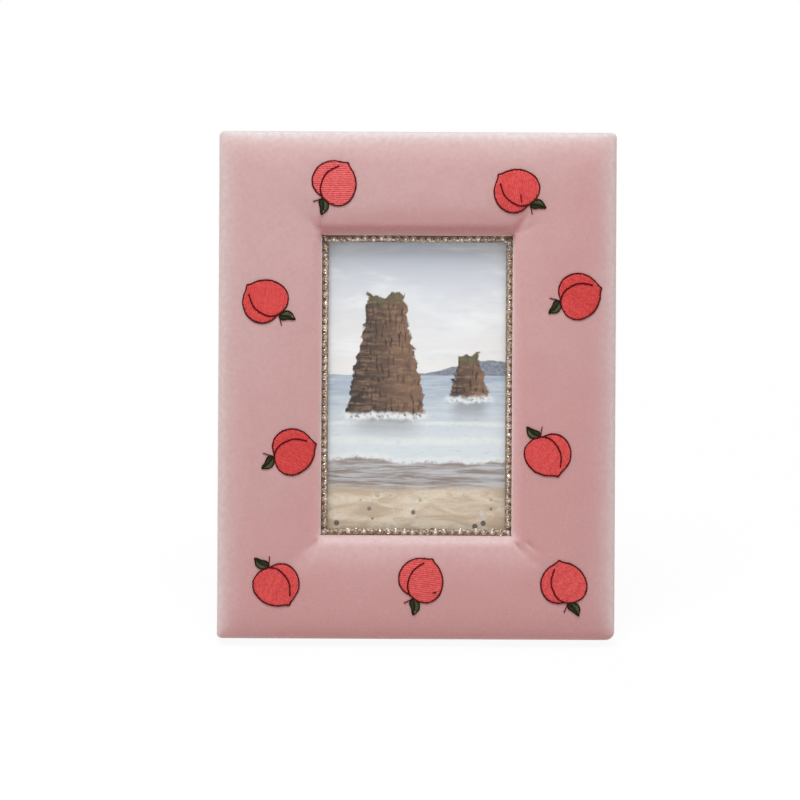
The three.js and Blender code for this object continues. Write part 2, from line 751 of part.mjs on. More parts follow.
// Ribbon: flat on the panel, across to the leg, and flat on the leg, with the leg open
function ribbonStay() {
  const centre = GAP + RIBBON_THICKNESS / 2;
  const openLeg = (down, across) => [
    AXIS_BACK + across * Math.cos(LEG_OPENING) + down * Math.sin(LEG_OPENING),
    HINGE_HEIGHT + across * Math.sin(LEG_OPENING) - down * Math.cos(LEG_OPENING),
  ];
  const bendZ = HINGE_HEIGHT - RIBBON_ON_PANEL;
  const middle = [
    [PANEL_BACK + centre, bendZ - RIBBON_TAB],
    [PANEL_BACK + centre, bendZ],
    openLeg(RIBBON_ON_LEG, LEG_INNER - centre),
    openLeg(RIBBON_ON_LEG + RIBBON_TAB, LEG_INNER - centre),
  ];
  const above = moved(middle, -RIBBON_THICKNESS / 2);
  const below = moved(middle, RIBBON_THICKNESS / 2);
  return bar(polygon([...above, ...below.reverse()]), -RIBBON_WIDTH / 2, RIBBON_WIDTH / 2);
}

// Assembly
const root = new THREE.Group();
root.name = "picture_frame";
const leaning = new THREE.Group();
leaning.name = "leaning_frame";
leaning.rotation.x = -LEAN;
root.add(leaning);

function piece(parent, name, solid, look) {
  const mesh = new THREE.Mesh(geometryOf(solid), look);
  mesh.name = name;
  parent.add(mesh);
  return mesh;
}

piece(leaning, "velvet_cover", velvetCover, velvetPink);
piece(leaning, "foam_pad", foamPad, foamCream);
piece(leaning, "frame_core", frameCore, boardBrown);
piece(leaning, "rear_lining", rearLining, flockGrey);
piece(leaning, "glass_pane", glassPane, clearGlass);
piece(leaning, "photo_print", photoPrint, printPaper);
piece(leaning, "filler_card", fillerCard, cardGrey);
piece(leaning, "back_panel", backPanel, flockGrey);

for (const [side, from, to, stones] of chainRuns) {
  piece(leaning, `chain_${side}`, chainRun(from, to, stones), chainMetal);
}

for (const [number, side, along, share, turn] of PEACHES) {
  const place = peachPlace(side, along, share);
  piece(leaning, `peach_${number}`, stitched(FRUIT, place, turn), fruitThread);
  piece(leaning, `peach_leaf_${number}`, stitched(LEAF, place, turn), leafThread);
}

for (const [name, x, z] of pivots) {
  const pivot = new THREE.Group();
  pivot.name = `button_pivot_${name}`;
  pivot.position.set(x, 0, z);
  leaning.add(pivot);
  piece(pivot, `button_${name}`, turnButton(x), nickel);
  piece(pivot, `screw_${name}`, buttonScrew(), nickel);
}

const hinge = new THREE.Group();
hinge.name = "hinge";
hinge.position.set(0, AXIS_BACK, HINGE_HEIGHT);
leaning.add(hinge);
piece(hinge, "hinge_panel_leaf", panelLeaf(), nickel);
piece(hinge, "hinge_pin", hingePin(), nickel);
const panelRivetSeat = panelLeafBack + GAP;
const panelRivetEnd = PANEL_BACK - AXIS_BACK - RIVET_DEPTH;
piece(hinge, "panel_rivet_left", rivet(rivetXs[0], RIVET_FROM_AXIS, panelRivetSeat, panelRivetEnd), nickel);
piece(hinge, "panel_rivet_right", rivet(rivetXs[1], RIVET_FROM_AXIS, panelRivetSeat, panelRivetEnd), nickel);

const leg = new THREE.Group();
leg.name = "easel";
leg.rotation.x = LEG_OPENING;
hinge.add(leg);
piece(leg, "easel_leg", cutFrom(legBoard(), [underFloor()]), flockGrey);
piece(leg, "hinge_leg_leaf", legLeaf(), nickel);
const legRivetSeat = LEG_OUTER + GAP;
const legRivetEnd = legLeafFront + 0.1;
piece(leg, "leg_rivet_left", rivet(rivetXs[0], -RIVET_FROM_AXIS, legRivetSeat, legRivetEnd), nickel);
piece(leg, "leg_rivet_right", rivet(rivetXs[1], -RIVET_FROM_AXIS, legRivetSeat, legRivetEnd), nickel);

piece(leaning, "ribbon_stay", ribbonStay(), ribbonBlack);
const overRibbon = GAP + RIBBON_THICKNESS + GAP / 2;
const panelStaple = staple(panelStapleZ, PANEL_BACK + overRibbon, PANEL_BACK, 1);
const legStaple = staple(-RIBBON_ON_LEG - RIBBON_TAB / 2, LEG_INNER - overRibbon, LEG_INNER, -1);
piece(leaning, "panel_staple", panelStaple, nickel);
piece(leg, "leg_staple", legStaple, nickel);

// Stand it with the middle of its box over the origin
root.updateMatrixWorld(true);
const box = new THREE.Box3().setFromObject(root, true);
leaning.position.y -= (box.min.y + box.max.y) / 2;
leaning.position.z -= box.min.z;

export default root;
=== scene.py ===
import math
import random

import bmesh
import bpy
from mathutils import Matrix, Vector, noise
from mathutils.bvhtree import BVHTree


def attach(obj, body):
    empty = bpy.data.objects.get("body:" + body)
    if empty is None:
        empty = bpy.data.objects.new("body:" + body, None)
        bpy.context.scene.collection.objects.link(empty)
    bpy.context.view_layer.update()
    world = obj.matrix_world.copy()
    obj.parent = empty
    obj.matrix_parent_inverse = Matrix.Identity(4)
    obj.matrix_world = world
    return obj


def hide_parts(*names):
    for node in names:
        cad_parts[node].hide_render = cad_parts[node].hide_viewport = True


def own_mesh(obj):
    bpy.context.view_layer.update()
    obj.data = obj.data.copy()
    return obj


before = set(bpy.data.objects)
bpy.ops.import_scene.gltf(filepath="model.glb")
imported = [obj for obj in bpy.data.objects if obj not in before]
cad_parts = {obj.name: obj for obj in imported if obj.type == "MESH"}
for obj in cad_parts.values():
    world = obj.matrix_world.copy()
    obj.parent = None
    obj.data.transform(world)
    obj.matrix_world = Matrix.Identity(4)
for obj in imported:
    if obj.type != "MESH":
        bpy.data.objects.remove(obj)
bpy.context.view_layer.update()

# Sizes in millimetres, in the frame's own upright place: its back at y = 0, its foot at z = 0, facing -Y
BORDER = 49.5
HALF_WINDOW_WIDTH = 46.5
HALF_WINDOW_HEIGHT = 73.0
HALF_WIDTH = HALF_WINDOW_WIDTH + BORDER
HALF_HEIGHT = HALF_WINDOW_HEIGHT + BORDER
MIDDLE = HALF_HEIGHT
CROWN = 20.0
SIDE_TOP = 12.8
WALL_TOP = 13.1
WALL_FOOT = 6.95
OUTER_ROLL = 24.0
ROLL_POWER = 2.55
OUTER_CORNER = 2.4
SLACK_CORNER = 4.4
INNER_ROLL = 24.0
INNER_DIP = 3.4
INNER_LIP = 6.0
HEM = 22.0
VELVET = 0.7
FOAM_REAR = 10.4
FOAM_OFF_WALL = 1.7
FOAM_OFF_SIDE = 1.3
STONE_HALF_WIDTH = 44.75
STONE_HALF_HEIGHT = 71.25
TAPE_WIDTH = 3.4
TAPE_THICKNESS = 0.6
PANEL_HALF_WIDTH = 51.5
PANEL_HALF_HEIGHT = 76.9
PANEL_THICKNESS = 3.0
PANEL_BACK = 1.3
LINING_HALF_WIDTH = 92.0
LINING_HALF_HEIGHT = 118.5
LINING_FRONT = 0.3
LINING_THICKNESS = 1.0
PANEL_GAP = 0.3
BUTTON_ACROSS = 60.8
BUTTON_UP = 46.0
HINGE_HEIGHT = 160.0
AXIS_BACK = 3.8
LEG_TOP = 2.4
LEG_FOOT = 192.0
LEG_HALF_WIDTH = 18.0
LEG_FLARE = 13 / 160
RIBBON_WIDTH = 12.0

LEAN = math.radians(14)
OPENING = math.radians(25)
STAND = Matrix.Translation((0, -0.02871119, 0)) @ Matrix.Rotation(-LEAN, 4, "X") @ Matrix.Scale(0.001, 4)
WINDOW = STAND @ Matrix.Translation((0, 0, MIDDLE))
HINGE = STAND @ Matrix.Translation((0, AXIS_BACK, HINGE_HEIGHT))
LEG = HINGE @ Matrix.Rotation(OPENING, 4, "X")


# Finishes

def tint(red, green, blue):
    """A colour given as it is seen on a screen, 0 to 255."""
    parts = []
    for part in (red, green, blue):
        share = part / 255
        parts.append(share / 12.92 if share <= 0.04045 else ((share + 0.055) / 1.055) ** 2.4)
    return (*parts, 1.0)


class Shading:
    """A tree of shading nodes, and the small steps that it is made in."""

    def __init__(self, tree):
        self.nodes = tree.nodes
        self.links = tree.links

    def node(self, kind, **settings):
        made = self.nodes.new("ShaderNode" + kind)
        for name, value in settings.items():
            setattr(made, name, value)
        return made

    def feed(self, socket, value):
        if isinstance(value, bpy.types.NodeSocket):
            self.links.new(value, socket)
        else:
            socket.default_value = value

    def fed(self, kind, output, inputs, **settings):
        """A node with these inputs fed, as the one output that is wanted of it."""
        made = self.node(kind, **settings)
        for name, value in inputs.items():
            self.feed(made.inputs[name], value)
        return made.outputs[output]

    def maths(self, operation, first, second=0.0, clamp=False):
        return self.fed("Math", 0, {0: first, 1: second}, operation=operation, use_clamp=clamp)

    def plus(self, first, second):
        return self.maths("ADD", first, second)

    def minus(self, first, second):
        return self.maths("SUBTRACT", first, second)

    def times(self, first, second):
        return self.maths("MULTIPLY", first, second)

    def size(self, value):
        return self.maths("ABSOLUTE", value)

    def span(self, value, low, high, to_low=0.0, to_high=1.0):
        inputs = {"Value": value, "From Min": low, "From Max": high, "To Min": to_low, "To Max": to_high}
        return self.fed("MapRange", "Result", inputs, interpolation_type="SMOOTHSTEP")

    def seen(self):
        """1 for what is seen straight, in a gloss or through glass, and 0 for what only gives light."""
        path = self.node("LightPath")
        straight = self.maths("MAXIMUM", path.outputs["Is Camera Ray"], path.outputs["Is Glossy Ray"])
        return self.maths("MAXIMUM", straight, path.outputs["Is Transmission Ray"])


class Finish(Shading):
    """A material."""

    def __init__(self, name):
        self.material = bpy.data.materials.new(name)
        self.material.use_nodes = True
        super().__init__(self.material.node_tree)
        self.shader = self.nodes["Principled BSDF"]

    def set(self, **values):
        for name, value in values.items():
            self.feed(self.shader.inputs[name.replace("_", " ")], value)

    def show_mix(self, share, first, second):
        """Shows two shaders mixed."""
        both = self.fed("MixShader", 0, {0: share, 1: first, 2: second})
        self.feed(self.nodes["Material Output"].inputs["Surface"], both)

    def place(self, at=STAND):
        """Millimetres in the piece's own upright place, from its Object coordinates."""
        location, rotation, scale = at.decompose()
        inputs = {
            "Vector": self.node("TexCoord").outputs["Object"],
            "Location": location,
            "Rotation": rotation.to_euler(),
            "Scale": scale,
        }
        return self.fed("Mapping", "Vector", inputs, vector_type="TEXTURE")

    def stretched(self, vector, stretch, turn=(0, 0, 0)):
        return self.fed("Mapping", "Vector", {"Vector": vector, "Scale": stretch, "Rotation": turn})

    def noise(self, vector, scale, detail=3.0, roughness=0.5, distortion=0.0):
        inputs = {"Vector": vector, "Scale": scale, "Detail": detail, "Roughness": roughness}
        return self.fed("TexNoise", "Fac", {**inputs, "Distortion": distortion})

    def cells(self, vector, scale, output="Distance"):
        return self.fed("TexVoronoi", output, {"Vector": vector, "Scale": scale})

    def mix(self, factor, first, second):
        return self.fed("Mix", 2, {0: factor, 6: first, 7: second}, data_type="RGBA", blend_type="MIX")

    def over(self, colour, *layers):
        """Lays colours over one another, each as a share and a colour."""
        for share, layer in layers:
            colour = self.mix(share, colour, layer)
        return colour

    def split(self, vector):
        parts = self.node("SeparateXYZ")
        self.links.new(vector, parts.inputs["Vector"])
        return list(parts.outputs)

    def joined(self, x, y, z):
        return self.fed("CombineXYZ", 0, {0: x, 1: y, 2: z})

    def bump(self, height, strength, distance):
        inputs = {"Strength": strength, "Distance": distance, "Height": height}
        self.set(Normal=self.fed("Bump", "Normal", inputs))


def make_velvet():
    """Dusty pink velvet with painted light and shade: paler where it tilts up, at its outer sides and
    towards the top left, deeper where it tilts down, where it turns in to the window and in its creases.
    """
    velvet = Finish("pink_velvet")
    place = velvet.place(WINDOW)
    across, _, up = velvet.split(place)
    broad = velvet.noise(place, 0.02, 2.0, 0.5, 0.6)
    stroked = velvet.noise(velvet.stretched(place, (0.07, 0.06, 0.05), (0, 0.5, 0)), 1.0, 3.0, 0.5, 0.5)
    mottled = velvet.noise(place, 0.42, 3.0, 0.6)
    pile = velvet.noise(place, 2.1, 2.0, 0.7)
    # Painted light: the colour pales towards the top and the left; the broad and stroked noise adds the
    # nap's own random tone.
    nap_tone_and_painted_light = velvet.plus(velvet.times(up, 0.0042), velvet.times(across, -0.0041))
    nap_tone_and_painted_light = velvet.plus(nap_tone_and_painted_light, velvet.times(broad, 0.9))
    nap_tone_and_painted_light = velvet.plus(nap_tone_and_painted_light, velvet.times(stroked, 0.5))
    facing = velvet.node("TexCoord").outputs["Normal"]
    upright = (STAND.to_3x3() @ Vector((0, 0, 1))).normalized()
    upwards = velvet.fed("VectorMath", "Value", {0: facing, 1: upright}, operation="DOT_PRODUCT")
    # How far each face turns out sideways, for the painted sheen and shade below.
    outwards = velvet.times(velvet.split(facing)[0], velvet.times(across, 1 / HALF_WIDTH))
    # Painted light: paler on faces that tilt up towards the lamp, less so near the top.
    lit = velvet.times(velvet.span(upwards, -0.03, 0.3, 0.0, 0.4), velvet.span(up, 60, 110, 1.0, 0.35))
    # Painted sheen: near white on faces that tilt up, whitest near the top.
    painted_sheen = velvet.mix(velvet.span(up, -80, 116), tint(214, 190, 190), tint(216, 212, 211))
    # Painted shade: deeper pink on faces that tilt down, fading out towards the left end.
    turned_down = velvet.times(velvet.span(upwards, -0.02, -0.55, 0.0, 0.85), velvet.span(across, -94, -50))
    shaded = velvet.mix(velvet.span(up, -70, 40), tint(191, 130, 128), tint(186, 114, 113))
    # Painted shade: a deeper pink along the creases at the window's corners, by their depth.
    crease_shade = velvet.node("Attribute", attribute_name="crease_shade").outputs["Fac"]
    colour = velvet.over(
        velvet.mix(velvet.span(nap_tone_and_painted_light, 0.2, 1.3), tint(194, 141, 140), tint(198, 160, 159)),
        # Painted sheen: paler on faces turned out at the outer sides, back to pink where they face fully
        # sideways.
        (velvet.span(outwards, 0.03, 0.6, 0.0, 0.9), tint(216, 198, 196)),
        (velvet.span(outwards, 0.72, 0.98, 0.0, 0.9), tint(197, 154, 152)),
        # Painted shade: a deeper pink on faces that turn in towards the window, against their sheen.
        (velvet.span(outwards, -0.06, -0.45, 0.0, 0.7), tint(218, 160, 159)),
        (lit, tint(217, 187, 186)),
        (velvet.span(upwards, 0.02, 0.7, 0.0, 0.97), painted_sheen),
        # Painted sheen held back to pink on faces that face straight up.
        (velvet.span(upwards, 0.86, 0.995, 0.0, 0.8), tint(204, 168, 166)),
        (turned_down, shaded),
        (velvet.span(crease_shade, 0.1, 0.75, 0.0, 0.6), tint(180, 116, 115)),
        (velvet.span(mottled, 0.3, 0.7, 0.0, 0.28), tint(184, 138, 136)),
        (velvet.span(pile, 0.35, 0.75, 0.0, 0.36), tint(210, 174, 172)),
    )
    velvet.set(
        Base_Color=colour,
        Roughness=0.85,
        Specular_IOR_Level=0.12,
        Sheen_Weight=1.0,
        Sheen_Roughness=0.5,
        Sheen_Tint=tint(255, 246, 245),
    )
    velvet.bump(velvet.plus(velvet.times(pile, 0.7), velvet.times(mottled, 0.6)), 0.35, 0.0004)
    return velvet.material


def make_foam():
    foam = Finish("cream_foam")
    bubbles = foam.cells(foam.place(), 0.9)
    colour = foam.mix(foam.span(bubbles, 0.1, 0.7), tint(214, 200, 160), tint(236, 226, 198))
    foam.set(Base_Color=colour, Roughness=0.95, Specular_IOR_Level=0.1)
    foam.bump(bubbles, 0.5, 0.0006)
    return foam.material


def make_grained(name, grain, low, high, dark, light, relief=None, stretch=None, **values):
    """A finish of two tones, mixed by its grain: a noise's scale, detail, roughness and distortion."""
    finish = Finish(name)
    place = finish.place()
    shade = finish.noise(finish.stretched(place, stretch) if stretch else place, *grain)
    finish.set(Base_Color=finish.mix(finish.span(shade, low, high), dark, light), **values)
    if relief:
        finish.bump(shade, *relief)
    return finish.material


def make_flock(name, at, worn):
    flock = Finish(name)
    place = flock.place(at)
    brushed = flock.noise(place, 0.045, 3.0, 0.55, 0.8)
    nap = flock.noise(place, 2.4, 3.0, 0.75)
    dust = flock.cells(place, 0.16)
    colour = flock.over(
        flock.mix(flock.span(brushed, 0.3, 0.7), tint(34, 31, 33), tint(44, 41, 43)),
        (flock.span(nap, 0.4, 0.75, 0.0, 0.5), tint(72, 68, 70)),
        (flock.span(dust, 0.0, 0.05, worn, 0.0), tint(120, 114, 112)),
    )
    flock.set(
        Base_Color=colour,
        Roughness=0.92,
        Specular_IOR_Level=0.1,
        Sheen_Weight=0.25,
        Sheen_Roughness=0.4,
        Sheen_Tint=tint(210, 205, 208),
    )
    flock.bump(nap, 0.4, 0.0003)
    return flock.material


def make_glass():
    """Clear glass, more of a mirror the more it is seen aslant."""
    glass = Finish("clear_glass")
    smear = glass.noise(glass.place(), 0.05, 3.0, 0.6)
    shine = glass.fed("BsdfGlossy", 0, {"Roughness": glass.span(smear, 0.3, 0.8, 0.02, 0.09)})
    clear = glass.fed("BsdfTransparent", 0, {"Color": (0.985, 0.995, 0.99, 1)})
    slant = glass.maths("POWER", glass.node("LayerWeight").outputs["Facing"], 5.0)
    glass.show_mix(glass.plus(glass.times(slant, 0.98), 0.013), clear, shine)
    glass.nodes.remove(glass.shader)
    return glass.material


class Picture(Finish):
    """A printed view, laid out in millimetres about the window's middle."""

    def __init__(self, name):
        super().__init__(name)
        self.x, _, self.up = self.split(self.place(WINDOW))
        self.flat = self.joined(self.x, 0.0, self.up)

    def streaks(self, across, up, turn, detail, roughness, distortion):
        """Noise drawn out across or up, and turned."""
        drawn = self.stretched(self.flat, (across, 1, up), (0, turn, 0))
        return self.noise(drawn, 1.0, detail, roughness, distortion)

    def over_line(self, level, rise, scale, seed, detail=4.0):
        """How far a level that wanders along x lies over each place."""
        wander = self.noise(self.joined(self.x, seed, 0.0), scale, detail, 0.55)
        line = self.plus(self.times(self.minus(wander, 0.5), rise), level)
        return self.minus(line, self.up)


def make_print():
    """A seaside view of the stock kind: sky, a far shore, two rocks in the sea, surf and sand."""
    paper = Picture("printed_paper")
    x, up, flat = paper.x, paper.up, paper.flat
    mix, span, times, size = paper.mix, paper.span, paper.times, paper.size

    # sky with thin cloud, warmer towards the horizon
    clouds = paper.streaks(0.02, 0.085, 0.1, 6.0, 0.6, 0.5)
    wisps = paper.streaks(0.05, 0.2, 0.16, 6.0, 0.62, 0.8)
    picture = mix(span(up, 4, 74), tint(246, 240, 240), tint(214, 217, 230))
    picture = mix(span(clouds, 0.44, 0.7, 0.0, 0.8), picture, tint(250, 249, 251))
    picture = mix(span(wisps, 0.5, 0.75, 0.0, 0.4), picture, tint(214, 215, 227))

    # the far shore on the right
    shore = paper.plus(paper.over_line(5, 7, 0.05, 2.0, 5.0), span(x, -12, 40, 0.0, 7.0))
    wooded = paper.noise(flat, 0.7, 4.0, 0.7)
    far_colour = mix(span(wooded, 0.35, 0.65), tint(112, 116, 132), tint(156, 160, 172))
    picture = mix(span(shore, -0.35, 0.35), picture, far_colour)

    # the sea, paler towards the beach
    swell = paper.streaks(0.04, 0.5, 0.0, 5.0, 0.65, 0.4)
    chop = paper.streaks(0.22, 1.6, 0.0, 4.0, 0.6, 0.2)
    sea = mix(span(up, -30, 6), tint(226, 230, 236), tint(172, 183, 202))
    sea = mix(span(swell, 0.38, 0.66, 0.0, 0.55), sea, tint(228, 231, 236))
    sea = mix(span(chop, 0.55, 0.75, 0.0, 0.5), sea, tint(126, 138, 156))
    picture = mix(span(up, 5.2, 4.6), picture, sea)

    # wet and dry sand
    grain = paper.noise(flat, 1.3, 5.0, 0.75)
    drifts = paper.streaks(0.06, 0.2, 0.2, 4.0, 0.6, 0.6)
    sand = mix(span(drifts, 0.35, 0.66), tint(204, 180, 156), tint(240, 224, 204))
    sand = mix(span(grain, 0.35, 0.75, 0.0, 0.5), sand, tint(176, 150, 130))
    wet = mix(span(swell, 0.4, 0.62), tint(148, 132, 124), tint(200, 196, 202))
    sand = mix(span(paper.over_line(-50, 12, 0.03, 31.0), -2.5, 2.5), wet, sand)
    picture = mix(span(paper.over_line(-36, 12, 0.028, 14.0), -0.8, 0.8), picture, sand)

    # surf that runs along the beach in broken lines
    froth = paper.noise(flat, 0.42, 6.0, 0.7, 0.4)
    lace = paper.cells(paper.stretched(flat, (0.5, 1, 0.9)), 1.0)
    broken = paper.maths("ADD", span(froth, 0.36, 0.56), span(lace, 0.5, 0.7, 0.0, 0.4), True)
    for level, rise, scale, seed, width in (
        (-35.6, 12, 0.028, 14.0, 1.5),
        (-27, 7, 0.035, 18.0, 1.9),
        (-18.5, 5, 0.04, 23.0, 1.0),
    ):
        off = size(paper.over_line(level, rise, scale, seed))
        picture = mix(times(span(off, width * 1.5, width * 0.4), broken), picture, tint(238, 238, 240))

    # two rocks, each with its shade below it and white water at its foot
    strata = paper.streaks(0.1, 0.55, -0.18, 6.0, 0.68, 0.6)
    cracks = paper.streaks(0.7, 0.16, 0.08, 5.0, 0.65, 0.5)
    ragged = times(paper.minus(paper.noise(flat, 0.2, 6.0, 0.62), 0.5), 9.0)
    for middle, foot, top, half_foot, half_top, seed in (
        (-15.0, -15.5, 43.0, 19.0, 9.5, 3.0),
        (25.5, -7.5, 17.0, 9.5, 4.5, 7.0),
    ):
        off = paper.minus(x, middle)
        half = paper.plus(span(up, foot, top, half_foot, half_top), ragged)
        flank = paper.minus(half, size(off))
        crest = paper.over_line(top, 22, 0.09, seed, 5.0)
        body = times(span(flank, -0.3, 0.4), span(crest, -0.3, 0.4))
        body = times(body, span(paper.over_line(foot, 5, 0.2, seed + 40), 0.5, -0.7))
        shade = times(span(size(off), half_foot + 2, half_foot * 0.4), span(up, foot - 14, foot + 2))
        shade = times(shade, span(up, foot + 3, foot))
        picture = mix(times(shade, 0.55), picture, tint(92, 84, 86))
        rock = mix(span(off, -half_foot, half_foot), tint(44, 32, 31), tint(132, 98, 78))
        rock = mix(span(strata, 0.44, 0.66, 0.0, 0.75), rock, tint(164, 126, 98))
        rock = mix(span(cracks, 0.5, 0.36, 0.0, 0.9), rock, tint(24, 18, 20))
        rock = mix(times(span(crest, 6, 1.5), span(froth, 0.4, 0.56)), rock, tint(104, 102, 70))
        picture = mix(body, picture, rock)
        spray = span(size(paper.over_line(foot + 0.6, 4, 0.2, seed + 40)), 2.6, 0.5)
        spray = times(spray, span(size(off), half_foot + 5, half_foot - 1))
        picture = mix(times(spray, span(froth, 0.34, 0.52)), picture, tint(240, 240, 243))

    # pebbles and shells strewn near the front
    red, green, _ = paper.split(paper.cells(flat, 0.24, "Color"))
    near = times(span(up, -50, -58), span(red, 0.45, 0.5))
    stones = mix(green, tint(70, 58, 54), tint(226, 218, 210))
    picture = mix(times(near, span(paper.cells(flat, 0.24), 0.36, 0.28)), picture, stones)
    paper.set(Base_Color=picture, Roughness=0.35, Specular_IOR_Level=0.4)
    paper.bump(grain, 0.05, 0.0001)
    return paper.material


def make_cup_metal():
    metal = Finish("champagne_metal")
    tarnish = metal.noise(metal.place(), 0.5, 4.0, 0.6)
    colour = metal.mix(metal.span(tarnish, 0.35, 0.7), tint(160, 140, 118), tint(214, 203, 188))
    metal.set(Base_Color=colour, Metallic=1.0, Roughness=metal.span(tarnish, 0.3, 0.7, 0.4, 0.24))
    return metal.material


def make_thread(name, dark, light, gloss=0.3, sheen=0.25):
    """Embroidery thread: each row's own tone with painted shade where its stitches dip in, and fine
    filaments along it.
    """
    thread = Finish(name)
    row = thread.node("Attribute", attribute_name="tone_and_dip_shade").outputs["Fac"]
    place = thread.place()
    filament = thread.noise(place, 2.6, 3.0, 0.65)
    fleck = thread.span(thread.noise(place, 0.8, 2.0, 0.55), 0.34, 0.66)
    colour = thread.mix(thread.plus(thread.times(row, 0.6), thread.times(fleck, 0.4)), dark, light)
    colour = thread.mix(thread.span(filament, 0.3, 0.7, 0.0, 0.28), colour, dark)
    thread.set(
        Base_Color=colour,
        Roughness=0.55,
        Specular_IOR_Level=gloss,
        Sheen_Weight=sheen,
        Sheen_Roughness=0.35,
    )
    thread.bump(filament, 0.3, 0.0002)
    return thread.material


def make_nickel(name, at):
    nickel = Finish(name)
    place = nickel.place(at)
    brushed = nickel.noise(nickel.stretched(place, (0.25, 1, 3.0)), 1.0, 4.0, 0.6)
    wear = nickel.noise(place, 0.35, 3.0, 0.6)
    colour = nickel.mix(nickel.span(wear, 0.35, 0.7), tint(160, 157, 152), tint(170, 167, 162))
    nickel.set(Base_Color=colour, Metallic=1.0, Roughness=nickel.span(brushed, 0.3, 0.7, 0.22, 0.27))
    nickel.bump(brushed, 0.015, 0.0001)
    return nickel.material


def make_ribbon():
    ribbon = Finish("black_ribbon")
    across, along, _ = ribbon.split(ribbon.node("UVMap", uv_map="weave").outputs["UV"])
    ribs = ribbon.maths("SINE", ribbon.times(along, 2 * math.pi / 0.9))
    fuzz = ribbon.noise(ribbon.joined(across, along, 0.0), 2.5, 3.0, 0.7)
    selvedge = ribbon.span(ribbon.size(ribbon.minus(across, RIBBON_WIDTH / 2)), 5.2, 5.5)
    colour = ribbon.mix(ribbon.span(fuzz, 0.3, 0.7), tint(26, 24, 26), tint(50, 46, 48))
    ribbon.set(
        Base_Color=ribbon.mix(selvedge, colour, tint(60, 56, 58)),
        Roughness=0.55,
        Specular_IOR_Level=0.35,
        Sheen_Weight=0.3,
        Sheen_Roughness=0.4,
    )
    ribbon.bump(ribbon.plus(ribbon.times(ribs, 0.5), fuzz), 0.4, 0.0002)
    return ribbon.material


# Making

def mesh_of(bm, name):
    mesh = bpy.data.meshes.new(name)
    bm.to_mesh(mesh)
    bm.free()
    return mesh


def add_object(name, data):
    made = bpy.data.objects.new(name, data)
    bpy.context.scene.collection.objects.link(made)
    return made


def new_piece(bm, name, finishes, at=STAND, body="frame", nodes=(), slot=None, smooth=True, sharp=None):
    """Puts a shape made in millimetres in its place, as a piece that rides on a body."""
    bmesh.ops.transform(bm, matrix=at, verts=bm.verts)
    mesh = mesh_of(bm, name)
    for finish in finishes:
        mesh.materials.append(finish)
    mesh.polygons.foreach_set("use_smooth", [smooth] * len(mesh.polygons))
    if sharp:
        mesh.set_sharp_from_angle(angle=math.radians(sharp))
    piece = add_object(name, mesh)
    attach(piece, body)
    if nodes:
        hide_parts(*nodes)
    return piece


def give_thickness(piece, thickness, offset=0):
    sheet = piece.modifiers.new("thickness", "SOLIDIFY")
    sheet.thickness = thickness * 0.001
    sheet.offset = offset


def points_of(geom):
    return [part for part in geom if isinstance(part, bmesh.types.BMVert)]


def edges_at(verts):
    return list(dict.fromkeys(edge for vert in verts for edge in vert.link_edges))


def middle_of(edge):
    return (edge.verts[0].co + edge.verts[1].co) / 2


def soften(bm, edges, width, segments=2):
    bmesh.ops.bevel(
        bm, geom=edges, offset=width, segments=segments, profile=0.5, affect="EDGES", material=-1
    )


def draw_on(bm, edges):
    """Draws edges on into faces, and gives the new points, the new edges along them and the faces."""
    made = bmesh.ops.extrude_edge_only(bm, edges=edges)["geom"]
    verts = points_of(made)
    ahead = []
    for part in made:
        if isinstance(part, bmesh.types.BMEdge) and part.verts[0] in verts and part.verts[1] in verts:
            ahead.append(part)
    return verts, ahead, [part for part in made if isinstance(part, bmesh.types.BMFace)]


def face_out(bm):
    bmesh.ops.recalc_face_normals(bm, faces=bm.faces)


def thicken(bm, depth):
    """Makes a flat shape a plate, by carrying it backwards."""
    made = bmesh.ops.extrude_face_region(bm, geom=list(bm.faces))["geom"]
    bmesh.ops.translate(bm, vec=(0, depth, 0), verts=points_of(made))
    face_out(bm)


def cut_across(bm, faces, point, normal, **settings):
    """Cuts faces along a plane, and gives the edges made."""
    geom = dict.fromkeys(part for face in faces for part in (face, *face.edges, *face.verts))
    made = bmesh.ops.bisect_plane(bm, geom=list(geom), plane_co=point, plane_no=normal, **settings)
    return [part for part in made["geom_cut"] if isinstance(part, bmesh.types.BMEdge)]


def add_slab(bm, half_width, half_height, front, back, bevel):
    """A board with softened edges, about the window's middle."""
    size = Matrix.Diagonal((2 * half_width, back - front, 2 * half_height, 1))
    centre = Matrix.Translation((0, (front + back) / 2, MIDDLE))
    verts = bmesh.ops.create_cube(bm, size=1, matrix=centre @ size)["verts"]
    soften(bm, edges_at(verts), bevel)


def turned(profile, steps):
    """A closed turned shape about the Y axis, from pairs of radius and y."""
    bm = bmesh.new()
    verts = [bm.verts.new((radius, y, 0)) for radius, y in profile]
    edges = [bm.edges.new(pair) for pair in zip(verts, verts[1:])]
    bmesh.ops.spin(
        bm, geom=verts + edges, cent=(0, 0, 0), axis=(0, 1, 0), angle=math.tau, steps=steps, use_merge=True
    )
    bmesh.ops.remove_doubles(bm, verts=bm.verts, dist=1e-4)
    face_out(bm)
    return bm


def add_wire(bm, points, radius):
    """A round wire along the points, made by drawing a ring along them."""
    ring = bmesh.ops.create_circle(bm, segments=8, radius=radius)["verts"]
    edges = edges_at(ring)
    bmesh.ops.contextual_create(bm, geom=ring)
    before = Matrix.Identity(4)
    for i, point in enumerate(points):
        ahead = points[min(i + 1, len(points) - 1)] - points[max(i - 1, 0)]
        now = Matrix.Translation(point) @ ahead.to_track_quat("Z", "Y").to_matrix().to_4x4()
        if i:
            ring, edges, _ = draw_on(bm, edges)
        bmesh.ops.transform(bm, matrix=now @ before.inverted(), verts=ring)
        before = now
    bmesh.ops.contextual_create(bm, geom=ring)


# The padded border

